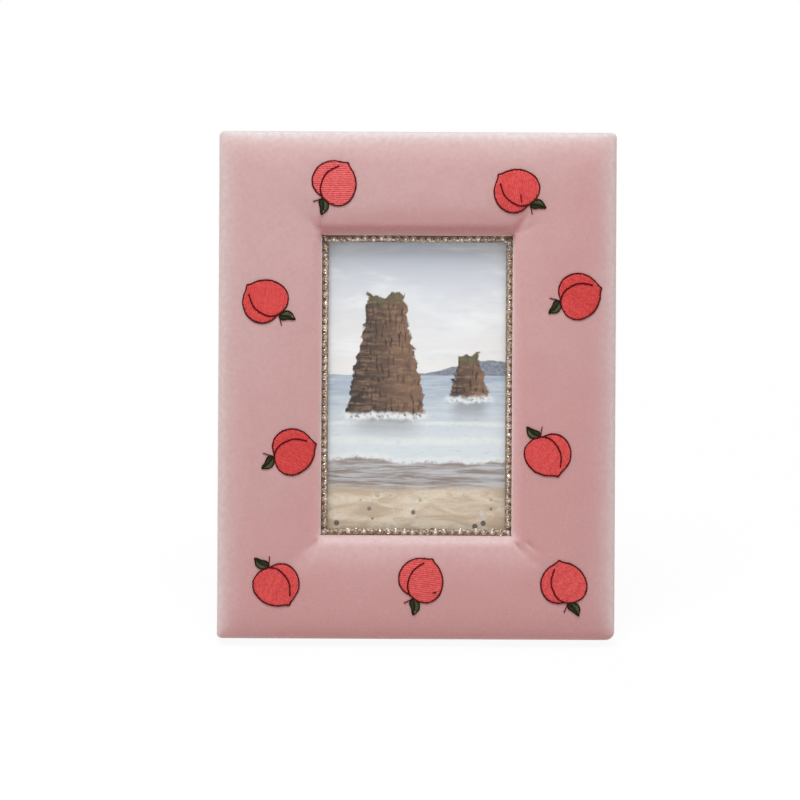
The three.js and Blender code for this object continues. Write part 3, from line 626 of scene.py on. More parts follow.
# Creases at the window's corners: side, end, angle, how far aside, start, length, depth and width
CREASES = [
    (1, 1, 58, 0.0, 0.0, 13, 0.9, 1.5),
    (1, 1, 24, 0.0, 0.0, 16, 0.3, 1.6),
    (-1, 1, 52, 0.0, 0.0, 12, 0.45, 1.5),
    (-1, 1, 84, 0.0, 0.0, 9, 0.7, 1.3),
    (1, -1, 43, -3.4, 5.0, 11, 0.75, 1.1),
    (1, -1, 50, 0.7, 1.6, 9, 0.7, 1.1),
    (1, -1, 45, 0.4, 13.0, 6, 0.35, 1.2),
    (-1, -1, 46, 0.0, 0.0, 12, 0.45, 1.5),
    (-1, -1, 68, 0.0, 0.0, 16, 0.3, 1.6),
]


def share_of(value, whole):
    return min(max(value / whole, 0), 1)


def soft_most(first, second, reach):
    """The larger of two lengths, with a rounded turn from one to the other."""
    near = max(reach - abs(first - second), 0) / reach
    return max(first, second) + near * near * reach / 4


def crease_depth(x, up):
    depth = 0
    for side, end, angle, aside, start, length, most, width in CREASES:
        across = x * side - HALF_WINDOW_WIDTH
        along = up * end - HALF_WINDOW_HEIGHT
        turn = math.radians(angle)
        run = across * math.cos(turn) + along * math.sin(turn) - start
        off = along * math.cos(turn) - across * math.sin(turn) - aside
        if 0 < run < length and abs(off) < 4 * width:
            fade = min(run / 3, 1) * (1 - (run / length) ** 2)
            depth += most * fade * math.exp(-((off / width) ** 2))
    return depth


def risen(inset):
    """How far the pad has risen, from 0 at its outer side to 1 at its crown."""
    rest = 1 - share_of(inset, OUTER_ROLL)
    return (1 - rest**ROLL_POWER) ** (1 / ROLL_POWER)


def padded_level(x, up):
    """How far the padded face stands forward of the back, at x across and up from the middle."""
    off_side, off_end = HALF_WIDTH - abs(x), HALF_HEIGHT - abs(up)
    level = SIDE_TOP + (CROWN - SIDE_TOP) * risen(off_side) * risen(off_end)
    off_window = soft_most(abs(x) - HALF_WINDOW_WIDTH, abs(up) - HALF_WINDOW_HEIGHT, 5)
    fall = 1 - share_of(off_window, INNER_ROLL)
    lip = 1 - share_of(off_window, INNER_LIP)
    level -= INNER_DIP * fall**2.2 + (CROWN - WALL_TOP - INNER_DIP) * lip**3.2
    swell = 0.4 * noise.noise(Vector((x * 0.03, up * 0.03, 3.3)))
    swell += 0.14 * noise.noise(Vector((x * 0.1, up * 0.1, 8.1)))
    spread = share_of(min(off_side, off_end), 8) * share_of(off_window, 6)
    return level + swell * spread - crease_depth(x, up)


def border_places(cells, half_window, window_cells):
    """Grid lines over the whole width or height, closest at the outer edge and at the window."""
    first = []
    for i in range(cells + 1):
        share = i / cells
        first.append(BORDER * (share - 0.1 * math.sin(2 * math.pi * share)) - half_window - BORDER)
    between = [half_window * (2 * i / window_cells - 1) for i in range(1, window_cells)]
    return first + between + [-place for place in reversed(first)]


def add_grid(bm, columns, rows, y=0.0):
    """A flat sheet with its lines at these places, facing -Y."""
    bmesh.ops.create_grid(bm, x_segments=len(columns) - 1, y_segments=len(rows) - 1, size=0.5)
    for vert in bm.verts:
        column = round((vert.co.x + 0.5) * (len(columns) - 1))
        row = round((vert.co.y + 0.5) * (len(rows) - 1))
        vert.co = (columns[column], y, rows[row])


def border_grid(cells, across_cells, up_cells):
    """A flat sheet with the window cut out, its middle at the origin."""
    bm = bmesh.new()
    columns = border_places(cells, HALF_WINDOW_WIDTH, across_cells)
    add_grid(bm, columns, border_places(cells, HALF_WINDOW_HEIGHT, up_cells))
    window = []
    for face in bm.faces:
        centre = face.calc_center_median()
        if abs(centre.x) < HALF_WINDOW_WIDTH and abs(centre.z) < HALF_WINDOW_HEIGHT:
            window.append(face)
    bmesh.ops.delete(bm, geom=window, context="FACES")
    return bm


def round_corner(vert, radius):
    """Draws a point of the sheet's square corner in to a rounded one."""
    across = abs(vert.co.x) - (HALF_WIDTH - radius)
    along = abs(vert.co.z) - (HALF_HEIGHT - radius)
    if across > 0 and along > 0:
        drawn_across = across * math.sqrt(1 - along**2 / (2 * radius**2))
        drawn_along = along * math.sqrt(1 - across**2 / (2 * radius**2))
        vert.co.x = math.copysign(HALF_WIDTH - radius + drawn_across, vert.co.x)
        vert.co.z = math.copysign(HALF_HEIGHT - radius + drawn_along, vert.co.z)


def fold_on(bm, edges, steps):
    """Carries an open edge on through (inset, level) steps, and gives the points made."""
    made = []
    last = 0
    for inset, level in steps:
        verts, edges, _ = draw_on(bm, edges)
        for vert in verts:
            vert.co.x *= (HALF_WIDTH - inset) / (HALF_WIDTH - last)
            vert.co.z *= (HALF_HEIGHT - inset) / (HALF_HEIGHT - last)
            vert.co.y = -level
        last = inset
        made += verts
    return made


# Embroidery

# The peach that points to the right, from its middle
FRUIT = [
    (10.6, 3.8), (10.0, 2.0), (9.5, -2.0), (6.8, -7.2), (1.2, -10.8), (-4.4, -10.5), (-8.4, -6.4),
    (-9.5, -0.6), (-10.2, 2.5), (-9.2, 6.6), (-5.8, 9.9), (-0.8, 11.2), (4.8, 9.5), (9.5, 4.7), (10.6, 3.8),
]
FRUIT_CREASE = [(-9.3, -1.4), (-7.2, 2.8), (-0.7, 6.2), (6.2, 5.3)]
LEAF = [
    (-9.9, -2.2), (-11.8, -2.0), (-13.0, -3.1), (-13.6, -4.8), (-15.5, -7.8), (-13.7, -7.9),
    (-11.9, -8.0), (-9.9, -6.6), (-9.5, -4.5),
]
LEAF_RIB = [(-10.0, -2.5), (-12.2, -5.6), (-15.2, -7.8)]
STEM = [(-10.1, -1.9), (-12.3, -1.4), (-14.6, -0.7)]
# Stitches that strayed over a fruit, across and up from the frame's middle
STRAYS = {2: [(49.5, 92.2), (49.9, 88.4)], 8: [(8.2, -99.6), (9.8, -99.3)]}
# Peaches whose leaf has a gap of two rows on its light side
BARE_LEAVES = (1, 3, 8)
STITCH_LENGTH = 3.4
STITCH_HALF_THICKNESS = 0.34
SWAY = 0.07
# A fill thread's lines, from side to side over its top and back below it, as shares of its half width
THREAD_ROUND = (-1, -0.5, 0, 0.5, 1, -1)
# Each peach: number, middle across and up from the frame's middle, turn, how pale its thread looks,
# and where its leaf was sewn, across and up from the usual place
PEACHES = [
    (1, -39.45, 97.4, 38, 1.0, 0.3, 0.3),
    (2, 47.3, 94.45, 120, 0.45, -0.1, 0.6),
    (3, -73.25, 40.75, 120.5, 0.35, 0.0, 0.0),
    (4, 78.2, 43.2, 2, 0.15, 0.1, 0.35),
    (5, -59.0, -32.3, 0, 0.15, 0.0, 0.0),
    (6, 63.2, -33.4, -83, 0.5, -0.35, -0.6),
    (7, -67.0, -96.65, -77, 0.5, 0.6, 0.1),
    (8, 3.15, -93.45, 44, 0.7, 1.25, -0.5),
    (9, 71.3, -94.6, 83, 0.62, 1.15, 0.45),
]


def smooth_line(points, closed, spacing):
    """The smooth line through the points, as points at an even spacing."""
    count = len(points)
    fine = []
    for i in range(count if closed else count - 1):
        around = []
        for j in (i - 1, i, i + 1, i + 2):
            around.append(Vector(points[j % count] if closed else points[min(max(j, 0), count - 1)]))
        before, start, end, after = around
        for step in range(8):
            t = step / 8
            curve = 2 * start + (end - before) * t
            curve += (2 * before - 5 * start + 4 * end - after) * t * t
            curve += (3 * start - before - 3 * end + after) * t**3
            fine.append(curve / 2)
    fine.append(fine[0] if closed else Vector(points[-1]))
    lengths = [0]
    for first, second in zip(fine, fine[1:]):
        lengths.append(lengths[-1] + (second - first).length)
    total = max(round(lengths[-1] / spacing), 1)
    line = []
    at = 0
    for i in range(total + 1):
        goal = lengths[-1] * i / total
        while at < len(fine) - 2 and lengths[at + 1] < goal:
            at += 1
        share = (goal - lengths[at]) / max(lengths[at + 1] - lengths[at], 1e-9)
        line.append(fine[at].lerp(fine[at + 1], min(share, 1)))
    return line


def crossings(line, row, along, across):
    """Where a row of stitches meets a line, as distances along the row."""
    meets = []
    for first, second in zip(line, line[1:]):
        a, b = first.dot(across) - row, second.dot(across) - row
        if (a < 0) != (b < 0):
            meets.append(first.lerp(second, a / (a - b)).dot(along))
    return sorted(meets)


def rows_over(line, along, across, margin, pitch):
    """The rows of stitches that fill a closed line, each with where it starts and ends."""
    reach = [point.dot(across) for point in line]
    row = min(reach) + margin
    while row < max(reach):
        meets = crossings(line, row, along, across)
        yield row, list(zip(meets[::2], meets[1::2]))
        row += pitch


def directions(slant):
    """Along a row of stitches, and across it."""
    turn = math.radians(slant)
    return Vector((math.cos(turn), math.sin(turn))), Vector((-math.sin(turn), math.cos(turn)))


def is_inside(point, line):
    meets = crossings(line, point.y, Vector((1, 0)), Vector((0, 1)))
    return sum(1 for meet in meets if meet > point.x) % 2 == 1


def new_threads():
    bm = bmesh.new()
    bm.verts.layers.float.new("tone_and_dip_shade")
    return bm


def close_threads(bm):
    """Joins each fill thread along its underside, and closes its ends."""
    bmesh.ops.remove_doubles(bm, verts=bm.verts, dist=1e-5)
    bmesh.ops.holes_fill(bm, edges=[edge for edge in bm.edges if edge.is_boundary], sides=0)
    face_out(bm)


def add_copy(bm, mesh):
    """Adds a copy of a mesh, and gives its points and faces."""
    first_vert, first_face = len(bm.verts), len(bm.faces)
    bm.from_mesh(mesh)
    bm.verts.ensure_lookup_table()
    bm.faces.ensure_lookup_table()
    return bm.verts[first_vert:], bm.faces[first_face:]


class Peach:
    """One embroidered peach in its place on the border."""

    def __init__(self, number, across, up, turn, pale, leaf_across, leaf_up):
        self.number = number
        self.middle = Vector((across, up))
        self.turn = Matrix.Rotation(math.radians(turn), 2)
        self.pale = pale
        self.leaf_move = self.turn.transposed() @ Vector((leaf_across, leaf_up))
        self.dice = random.Random(number)

    def moved(self, points):
        """A line of the leaf, moved to where this peach's own leaf was sewn."""
        return [Vector(point) + self.leaf_move for point in points]

    def from_border(self, point):
        """A place on the border, as seen from the peach."""
        return self.turn.transposed() @ (Vector(point) - self.middle)

    def holds(self, x, up):
        point = self.from_border((x, up))
        if point.length > 20:
            return False
        return is_inside(point, FRUIT_LINE) or is_inside(point - self.leaf_move, LEAF_LINE)

    def on_cloth(self, point, lift):
        flat = self.middle + self.turn @ Vector(point)
        hit, normal, _, _ = CLOTH.ray_cast(Vector((flat.x, -60, flat.y + MIDDLE)), Vector((0, 1, 0)))
        return hit + normal * lift, normal

    def add_row(self, bm, start, end, row, along, across, width, lift, tone, finish=0):
        """One row of fill: a half-round thread that dips where each stitch goes in."""
        length = end - start
        cells = max(round(length / 0.75), 2)
        verts = bmesh.ops.create_grid(bm, x_segments=cells, y_segments=5, size=0.5)["verts"]
        stitch = STITCH_LENGTH + self.dice.uniform(-0.5, 0.5)
        shift = self.dice.random()
        wander = self.dice.uniform(0, 6)
        layer = bm.verts.layers.float["tone_and_dip_shade"]
        for vert in verts:
            share, side = vert.co.x + 0.5, THREAD_ROUND[round((vert.co.y + 0.5) * 5)]
            run = start + share * length
            off = row + side * width / 2 + SWAY * math.sin(run * 1.1 + wander)
            dip = abs(math.sin(math.pi * (run / stitch + shift))) ** 0.4
            ends = min(min(share, 1 - share) * length / 0.5, 1)
            height = lift * (0.25 + 0.75 * (1 - side * side)) * (0.6 + 0.4 * dip) * (0.35 + 0.65 * ends)
            vert.co, _ = self.on_cloth(along * run + across * off, height)
            # Painted shade and glint: the tone is darker where the thread dips in at each stitch's ends and
            # paler between.
            vert[layer] = share_of(tone + 0.4 * (dip - 0.78), 1)
        for face in {face for vert in verts for face in vert.link_faces}:
            face.material_index = finish

    def add_stitches(self, bm, points, closed, width, length, finish, lift):
        """A line of back stitches, each a short rounded thread that overlaps the next."""
        line = smooth_line(points, closed, length)
        layer = bm.verts.layers.float["tone_and_dip_shade"]
        for first, second in zip(line, line[1:]):
            sway = Vector((self.dice.uniform(-1, 1), self.dice.uniform(-1, 1))) * SWAY
            middle, normal = self.on_cloth((first + second) / 2 + sway, lift)
            way = self.on_cloth(second, lift)[0] - self.on_cloth(first, lift)[0]
            half = way.length * 0.7
            way.normalize()
            side = normal.cross(way).normalized()
            wide = width / 2 * self.dice.uniform(0.88, 1.1)
            matrix = Matrix.Translation(middle)
            for i, edge in enumerate((side * wide, normal * STITCH_HALF_THICKNESS, way * half)):
                matrix.col[i] = (*edge, 0)
            if matrix.determinant() < 0:
                matrix.col[0] = -matrix.col[0]
            verts, faces = add_copy(bm, STITCH)
            bmesh.ops.transform(bm, matrix=matrix, verts=verts)
            tone = self.dice.random()
            for vert in verts:
                vert[layer] = tone
            for face in faces:
                face.material_index = finish

    def make_fruit(self, finish):
        bm = new_threads()
        grain = directions(-38)
        for row, runs in rows_over(FRUIT_FILL, *grain, 0.3, 0.92):
            tone = self.dice.uniform(0.32, 0.68)
            for start, end in runs:
                if end - start > 0.8:
                    ragged = (start - self.dice.uniform(0, 0.3), end + self.dice.uniform(0, 0.3))
                    self.add_row(bm, *ragged, row, *grain, 1.02, 0.5, tone)
        close_threads(bm)
        name = f"fruit_fill_{self.number}"
        new_piece(bm, name, [finish], nodes=[f"peach_{self.number}"], slot="fruit_thread", sharp=75)

    def make_leaf(self, finishes):
        bm = new_threads()
        grain = directions(-62)
        rib = smooth_line(self.moved(LEAF_RIB), False, 0.4)
        for i, (row, runs) in enumerate(rows_over(self.moved(LEAF_FILL), *grain, 0.25, 0.5)):
            parting = crossings(rib, row, *grain)
            bare = self.number in BARE_LEAVES and i in (2, 3)
            for start, end in runs:
                part = min(max(parting[0], start), end) if parting else end
                for first, last, finish in ((start, part, 0), (part, end, 1)):
                    if last - first > 0.6 and not (bare and finish):
                        self.add_row(bm, first, last, row, *grain, 0.6, 0.36, self.dice.random(), finish)
        close_threads(bm)
        name = f"leaf_fill_{self.number}"
        new_piece(bm, name, finishes, nodes=[f"peach_leaf_{self.number}"], slot="leaf_thread", sharp=75)

    def make_lines(self, finishes):
        bm = new_threads()
        self.add_stitches(bm, FRUIT, False, 0.76, 1.5, 0, 0.3)
        self.add_stitches(bm, FRUIT_CREASE, False, 0.84, 1.4, 1, 0.5)
        self.add_stitches(bm, self.moved(LEAF), True, 0.66, 1.2, 2, 0.3)
        self.add_stitches(bm, self.moved(LEAF_RIB), False, 0.6, 1.2, 2, 0.36)
        self.add_stitches(bm, self.moved(STEM), False, 0.56, 1.3, 0, 0.22)
        if self.number in STRAYS:
            strayed = [self.from_border(point) for point in STRAYS[self.number]]
            self.add_stitches(bm, strayed, False, 0.62, 1.4, 0, 0.5)
        new_piece(bm, f"peach_lines_{self.number}", finishes, slot="fruit_thread")


def make_stitch():
    bm = bmesh.new()
    bmesh.ops.create_uvsphere(bm, u_segments=8, v_segments=6, radius=1)
    return mesh_of(bm, "stitch")


STITCH = make_stitch()
FRUIT_LINE = smooth_line(FRUIT, False, 0.4)
LEAF_LINE = smooth_line(LEAF, True, 0.4)
FRUIT_FILL = [point * 0.968 for point in FRUIT_LINE]
LEAF_MIDDLE = sum((Vector(point) for point in LEAF), Vector((0, 0))) / len(LEAF)
LEAF_FILL = [LEAF_MIDDLE + (point - LEAF_MIDDLE) * 0.93 for point in LEAF_LINE]
peaches = [Peach(*row) for row in PEACHES]


# Velvet and foam

CLOTH_SETTINGS = {
    "vertex_group_mass": "held",
    "quality": 6,
    "mass": 0.3,
    "tension_stiffness": 6,
    "compression_stiffness": 6,
    "shear_stiffness": 3,
    "bending_stiffness": 0.02,
    "use_pressure": True,
    "uniform_pressure_force": 4,
}
CLOTH_FRAMES = 20
MOST_SWELLING = 0.45
# The velvet's way round the outer side to the hem, and down the window's wall, as the inset from the edge
# that it leaves and the level off the back
ROUND_SIDE = [
    (-0.1, 11.6), (-0.2, 9.5), (-0.25, 7.2), (-0.25, 5.0), (-0.15, 3.2), (0.0, 1.9), (0.25, 0.95),
    (0.7, 0.35), (1.4, 0.08), (2.6, 0.0), (4.5, 0.0), (9.0, 0.0), (HEM - 0.5, 0.0), (HEM, 0.0),
]
DOWN_WALL = [(0.45, 12.3), (0.75, 11.2), (0.75, 10.0), (0.45, 8.8), (0.1, 7.8), (0, WALL_FOOT)]


def puff(bm, held):
    """Lets the velvet swell over its foam between the points that hold it, as cloth under pressure."""
    points = [vert.co.copy() for vert in bm.verts]
    mesh = bpy.data.meshes.new("velvet_on_foam")
    bm.to_mesh(mesh)
    mesh.transform(Matrix.Scale(0.001, 4))
    cloth = add_object("velvet_on_foam", mesh)
    cloth.vertex_groups.new(name="held").add(held, 1.0, "REPLACE")
    modifier = cloth.modifiers.new("Cloth", "CLOTH")
    for name, value in CLOTH_SETTINGS.items():
        setattr(modifier.settings, name, value)
    modifier.settings.effector_weights.gravity = 0
    modifier.collision_settings.use_collision = False
    modifier.collision_settings.use_self_collision = False
    modifier.point_cache.frame_start = 1
    modifier.point_cache.frame_end = CLOTH_FRAMES
    for now in range(1, CLOTH_FRAMES + 1):
        bpy.context.scene.frame_set(now)
    swollen = cloth.evaluated_get(bpy.context.evaluated_depsgraph_get()).data
    for vert, point, moved in zip(bm.verts, points, swollen.vertices):
        inset = min(HALF_WIDTH - abs(point.x), HALF_HEIGHT - abs(point.z))
        off_window = max(abs(point.x) - HALF_WINDOW_WIDTH, abs(point.z) - HALF_WINDOW_HEIGHT)
        share = share_of(inset, 24) * share_of(off_window, 16)
        forward = MOST_SWELLING * math.tanh(max(point.y - moved.co.y * 1000, 0) / 1.5)
        vert.co.y = point.y - forward * share * share * (3 - 2 * share)
    bpy.data.objects.remove(cloth)
    bpy.context.scene.frame_set(1)


def make_velvet_cover(finish):
    """The velvet drawn over the pad, with the surface that the embroidery is laid on."""
    bm = border_grid(48, 60, 94)
    outer, inner = [], []
    for edge in bm.edges:
        if edge.is_boundary:
            at = middle_of(edge)
            on_outside = abs(at.x) > HALF_WIDTH - 1 or abs(at.z) > HALF_HEIGHT - 1
            (outer if on_outside else inner).append(edge)
    # The creases' depth, kept for their painted shade in the velvet's colour.
    crease_shade = bm.verts.layers.float.new("crease_shade")
    for vert in bm.verts:
        vert[crease_shade] = crease_depth(vert.co.x, vert.co.z)
        vert.co.y = -padded_level(vert.co.x, vert.co.z)
        round_corner(vert, SLACK_CORNER if vert.co.x > 0 > vert.co.z else OUTER_CORNER)
    made = fold_on(bm, outer, ROUND_SIDE) + fold_on(bm, inner, DOWN_WALL)
    face_out(bm)
    if sum(face.normal.y for face in bm.faces) > 0:
        bmesh.ops.reverse_faces(bm, faces=bm.faces)
    bm.verts.index_update()
    held = {vert.index for vert in made}
    for vert in bm.verts:
        if vert.index not in held and any(peach.holds(vert.co.x, vert.co.z) for peach in peaches):
            held.add(vert.index)
    puff(bm, sorted(held))
    bmesh.ops.translate(bm, vec=(0, 0, MIDDLE), verts=bm.verts)
    surface = BVHTree.FromBMesh(bm)
    piece = new_piece(bm, "velvet_skin", [finish], nodes=["velvet_cover"], slot="velvet")
    give_thickness(piece, VELVET, -1)
    return piece, surface


def foam_place(place, half_window):
    """A place of the border, drawn off the window's wall and off the outer side."""
    past = abs(place) - half_window
    inner = half_window + FOAM_OFF_WALL
    if past >= 0:
        far = inner + past * (BORDER - FOAM_OFF_WALL - FOAM_OFF_SIDE) / BORDER
    else:
        far = abs(place) * inner / half_window
    return math.copysign(far, place)


def make_foam_pad(finish):
    bm = border_grid(18, 20, 30)
    for vert in bm.verts:
        vert.co.x = foam_place(vert.co.x, HALF_WINDOW_WIDTH)
        vert.co.z = foam_place(vert.co.z, HALF_WINDOW_HEIGHT)
        vert.co.y = -padded_level(vert.co.x, vert.co.z) + FOAM_OFF_SIDE
    made = bmesh.ops.extrude_face_region(bm, geom=list(bm.faces))["geom"]
    for vert in points_of(made):
        vert.co.y = -FOAM_REAR
    face_out(bm)
    bmesh.ops.translate(bm, vec=(0, 0, MIDDLE), verts=bm.verts)
    return new_piece(bm, "foam_under_velvet", [finish], nodes=["foam_pad"], slot="foam")


# Cup chain

def make_cup_mesh():
    """A cup with four claws and its cut stone, about the Y axis, its face to -Y."""
    outside = [(0, 0.0), (1.2, 0.0), (1.5, -0.15), (1.55, -0.85), (1.42, -1.22)]
    inside = [(1.12, -1.12), (1.05, -0.6), (0, -0.6)]
    bm = turned(outside + inside, 12)
    claw = Matrix.Translation((1.24, -1.3, 0)) @ Matrix.Rotation(0.5, 4, "Z")
    claw = claw @ Matrix.Diagonal((0.36, 0.62, 0.44, 1))
    for degrees in (45, 135, 225, 315):
        turn = Matrix.Rotation(math.radians(degrees), 4, "Y")
        bmesh.ops.create_cube(bm, size=1, matrix=turn @ claw)
    ring = bmesh.ops.create_circle(bm, segments=8, radius=1.16)["verts"]
    edges = edges_at(ring)
    flat = Matrix.Translation((0, -1.0, 0)) @ Matrix.Rotation(math.pi / 2, 4, "X")
    bmesh.ops.transform(bm, matrix=flat, verts=ring)
    stone = list(bmesh.ops.contextual_create(bm, geom=ring)["faces"])
    for shrink, rise, twist in ((0.93, 0.35, 0.0), (0.62, 0.42, math.pi / 8), (0.72, 0.2, 0.0)):
        ring, edges, faces = draw_on(bm, edges)
        stone += faces
        step = Matrix.Translation((0, -rise, 0)) @ Matrix.Rotation(twist, 4, "Y")
        bmesh.ops.transform(bm, matrix=step @ Matrix.Diagonal((shrink, 1, shrink, 1)), verts=ring)
    stone += bmesh.ops.contextual_create(bm, geom=ring)["faces"]
    face_out(bm)
    for face in stone:
        face.material_index = 1
    return mesh_of(bm, "cup")


def make_chain(side, places, cup, finishes, dice):
    """A run of cups at the given places on a tape, joined by short links."""
    bm = bmesh.new()
    ends = [Vector((x, -WALL_FOOT - 0.33, up + MIDDLE)) for x, up in (places[0], places[-1])]
    reach = ends[1] - ends[0]
    middle = (ends[0] + ends[1]) / 2
    size = (TAPE_WIDTH, TAPE_THICKNESS, abs(reach.z) + TAPE_WIDTH, 1)
    if side in ("top", "bottom"):
        size = (abs(reach.x) + TAPE_WIDTH, TAPE_THICKNESS, TAPE_WIDTH, 1)
        middle.z = MIDDLE + math.copysign(STONE_HALF_HEIGHT, places[0][1])
    bmesh.ops.create_cube(bm, size=1, matrix=Matrix.Translation(middle) @ Matrix.Diagonal(size))
    for face in bm.faces:
        face.material_index = 2
    for x, up in places:
        verts, _ = add_copy(bm, cup)
        tilt = Matrix.Rotation(dice.gauss(0, 0.09), 4, "X") @ Matrix.Rotation(dice.gauss(0, 0.09), 4, "Z")
        turn = Matrix.Rotation(dice.uniform(0, math.pi), 4, "Y")
        nudge = Vector((dice.uniform(-0.12, 0.12), dice.uniform(-0.1, 0.0), dice.uniform(-0.12, 0.12)))
        at = Matrix.Translation(Vector((x, -WALL_FOOT, up + MIDDLE)) + nudge)
        bmesh.ops.transform(bm, matrix=at @ tilt @ turn, verts=verts)
    for (x, up), (next_x, next_up) in zip(places, places[1:]):
        half = Vector(((next_x - x) / 2, 0, (next_up - up) / 2))
        middle = Vector((x, -WALL_FOOT - 0.5, up + MIDDLE)) + half
        along = half.normalized()
        inward = Vector((-along.z, 0, along.x))
        if inward.dot(Vector((0, 0, MIDDLE)) - middle) < 0:
            inward = -inward
        link = Matrix.Translation(middle + inward * 0.55)
        for i, edge in enumerate((along * half.length * 1.3, (0, 0.8, 0), inward * 1.1)):
            link.col[i] = (*edge, 0)
        verts = bmesh.ops.create_cube(bm, size=1, matrix=link)["verts"]
        soften(bm, edges_at(verts), 0.18, 1)
    new_piece(bm, f"cup_chain_{side}", finishes, nodes=[f"chain_{side}"], slot="chain", smooth=False)


def slipped(place):
    """How far a stone has slipped off the wall."""
    return 0.3 + 0.3 * math.sin(place * 0.13 + 0.6)


def chain_places():
    """Where each run's stones sit: the top right corner is cut short by a slanting stone."""
    half_x, half_up = STONE_HALF_WIDTH, STONE_HALF_HEIGHT
    across = [half_x * (2 * i / 23 - 1) for i in range(24)]
    pitch = 2 * half_up / 36
    upright = [half_up * (2 * i / 36 - 1) for i in range(1, 36)]
    top = [(x, half_up - slipped(x)) for x in across]
    top[-2:] = [(half_x - 3.1, half_up), (half_x + 0.2, half_up - 1.6)]
    right = [(half_x, up) for up in upright]
    right[-1] = (half_x, half_up - pitch - 1.0)
    return {
        "top": top,
        "bottom": [(x, slipped(x - 20) - half_up) for x in across],
        "left": [(slipped(up + 9) / 2 - half_x, up) for up in upright],
        "right": right,
    }


# The back

def mark_edges(bm):
    """Gives the faces round a board's edge the second finish."""
    for face in bm.faces:
        if abs(face.normal.y) < 0.9:
            face.material_index = 1


def make_plate(name, node, half_width, half_height, front, back, bevel, finishes, slot):
    bm = bmesh.new()
    add_slab(bm, half_width, half_height, front, back, bevel)
    if len(finishes) > 1:
        mark_edges(bm)
    new_piece(bm, name, finishes, nodes=[node], slot=slot, sharp=20)


def make_rear_lining(finishes):
    """A board with rounded corners round the panel's opening."""
    half_opening = PANEL_HALF_WIDTH + PANEL_GAP, PANEL_HALF_HEIGHT + PANEL_GAP
    places = []
    for outer, inner in zip((LINING_HALF_WIDTH, LINING_HALF_HEIGHT), half_opening):
        places.append((-outer, -inner, inner, outer))
    bm = bmesh.new()
    add_grid(bm, *places, LINING_FRONT)
    opening = min(bm.faces, key=lambda face: face.calc_center_median().xz.length)
    bmesh.ops.delete(bm, geom=[opening], context="FACES")
    bmesh.ops.translate(bm, vec=(0, 0, MIDDLE), verts=bm.verts)
    thicken(bm, LINING_THICKNESS)
    corners = []
    for edge in bm.edges:
        at = middle_of(edge)
        is_corner = abs(at.x) > LINING_HALF_WIDTH - 1 and abs(at.z - MIDDLE) > LINING_HALF_HEIGHT - 0.5
        if is_corner and abs(at.y - LINING_FRONT - LINING_THICKNESS / 2) < 0.1:
            corners.append(edge)
    soften(bm, corners, 2, 5)
    rims = []
    for edge in bm.edges:
        if edge.calc_face_angle(0) > 0.8 and min(vert.co.y for vert in edge.verts) > 1.2:
            rims.append(edge)
    soften(bm, rims, 0.25)
    mark_edges(bm)
    new_piece(bm, "lining_board", finishes, nodes=["rear_lining"], slot="flocked_card", sharp=20)


def make_easel_leg(finishes):
    """A board that widens downwards, its foot cut level with the table."""
    bm = bmesh.new()
    bmesh.ops.create_cube(bm, size=1)
    for vert in bm.verts:
        top = vert.co.z > 0
        half = LEG_HALF_WIDTH if top else LEG_HALF_WIDTH + LEG_FLARE * LEG_FOOT
        vert.co = (math.copysign(half, vert.co.x), 1.0 + vert.co.y * 3, -LEG_TOP if top else -LEG_FOOT)
    corners = []
    for edge in bm.edges:
        first, second = edge.verts
        if max(-first.co.z, -second.co.z) < 3 and abs(first.co.x - second.co.x) < 1:
            corners.append(edge)
    soften(bm, corners, 3, 4)
    to_leg = LEG.inverted()
    down = (to_leg.to_3x3() @ Vector((0, 0, -1))).normalized()
    rim = cut_across(bm, bm.faces, to_leg @ Vector((0, 0, 0)), down, clear_outer=True)
    bmesh.ops.holes_fill(bm, edges=rim)
    face_out(bm)
    soften(bm, [edge for edge in bm.edges if edge.calc_face_angle(0) > 0.9], 0.3)
    mark_edges(bm)
    new_piece(bm, "easel_board", finishes, LEG, "easel", ["easel_leg"], "flocked_board", sharp=20)


def make_turn_button(place, x, up, finish):
    """A pressed plate that narrows to a thumb tab, turned up at its end."""
    bm = bmesh.new()
    seat, thickness = 1.65, 0.7
    tab_far, tab_share = 13.85, 0.7
    verts = bmesh.ops.create_circle(bm, cap_ends=True, segments=32, radius=4.5)["verts"]
    for vert in verts:
        across, along = vert.co.x, vert.co.y
        if across > 0.05:
            across, along = across * tab_share + tab_far, along * tab_share
        vert.co = (across, seat, along)
    thicken(bm, thickness)
    top = max(bm.faces, key=lambda face: face.calc_center_median().y)
    bmesh.ops.inset_region(bm, faces=[top], thickness=0.7)
    bmesh.ops.inset_region(bm, faces=[top], thickness=0.45)
    bmesh.ops.translate(bm, vec=(0, 0.3, 0), verts=top.verts)
    bend = 12
    cut_across(bm, bm.faces, (bend, 0, 0), (1, 0, 0))
    for vert in bm.verts:
        if vert.co.x > bend:
            vert.co.y += 0.03 * (vert.co.x - bend) ** 2
    soften(bm, [edge for edge in bm.edges if edge.calc_face_angle(0) > 1.0], 0.12)
    towards = Matrix.Rotation(math.pi if x > 0 else 0, 4, "Y")
    at = STAND @ Matrix.Translation((x, 0, up + MIDDLE)) @ towards
    body = f"button_{place}"
    new_piece(bm, f"turn_button_{place}", [finish], at, body, [body], "nickel", sharp=30)


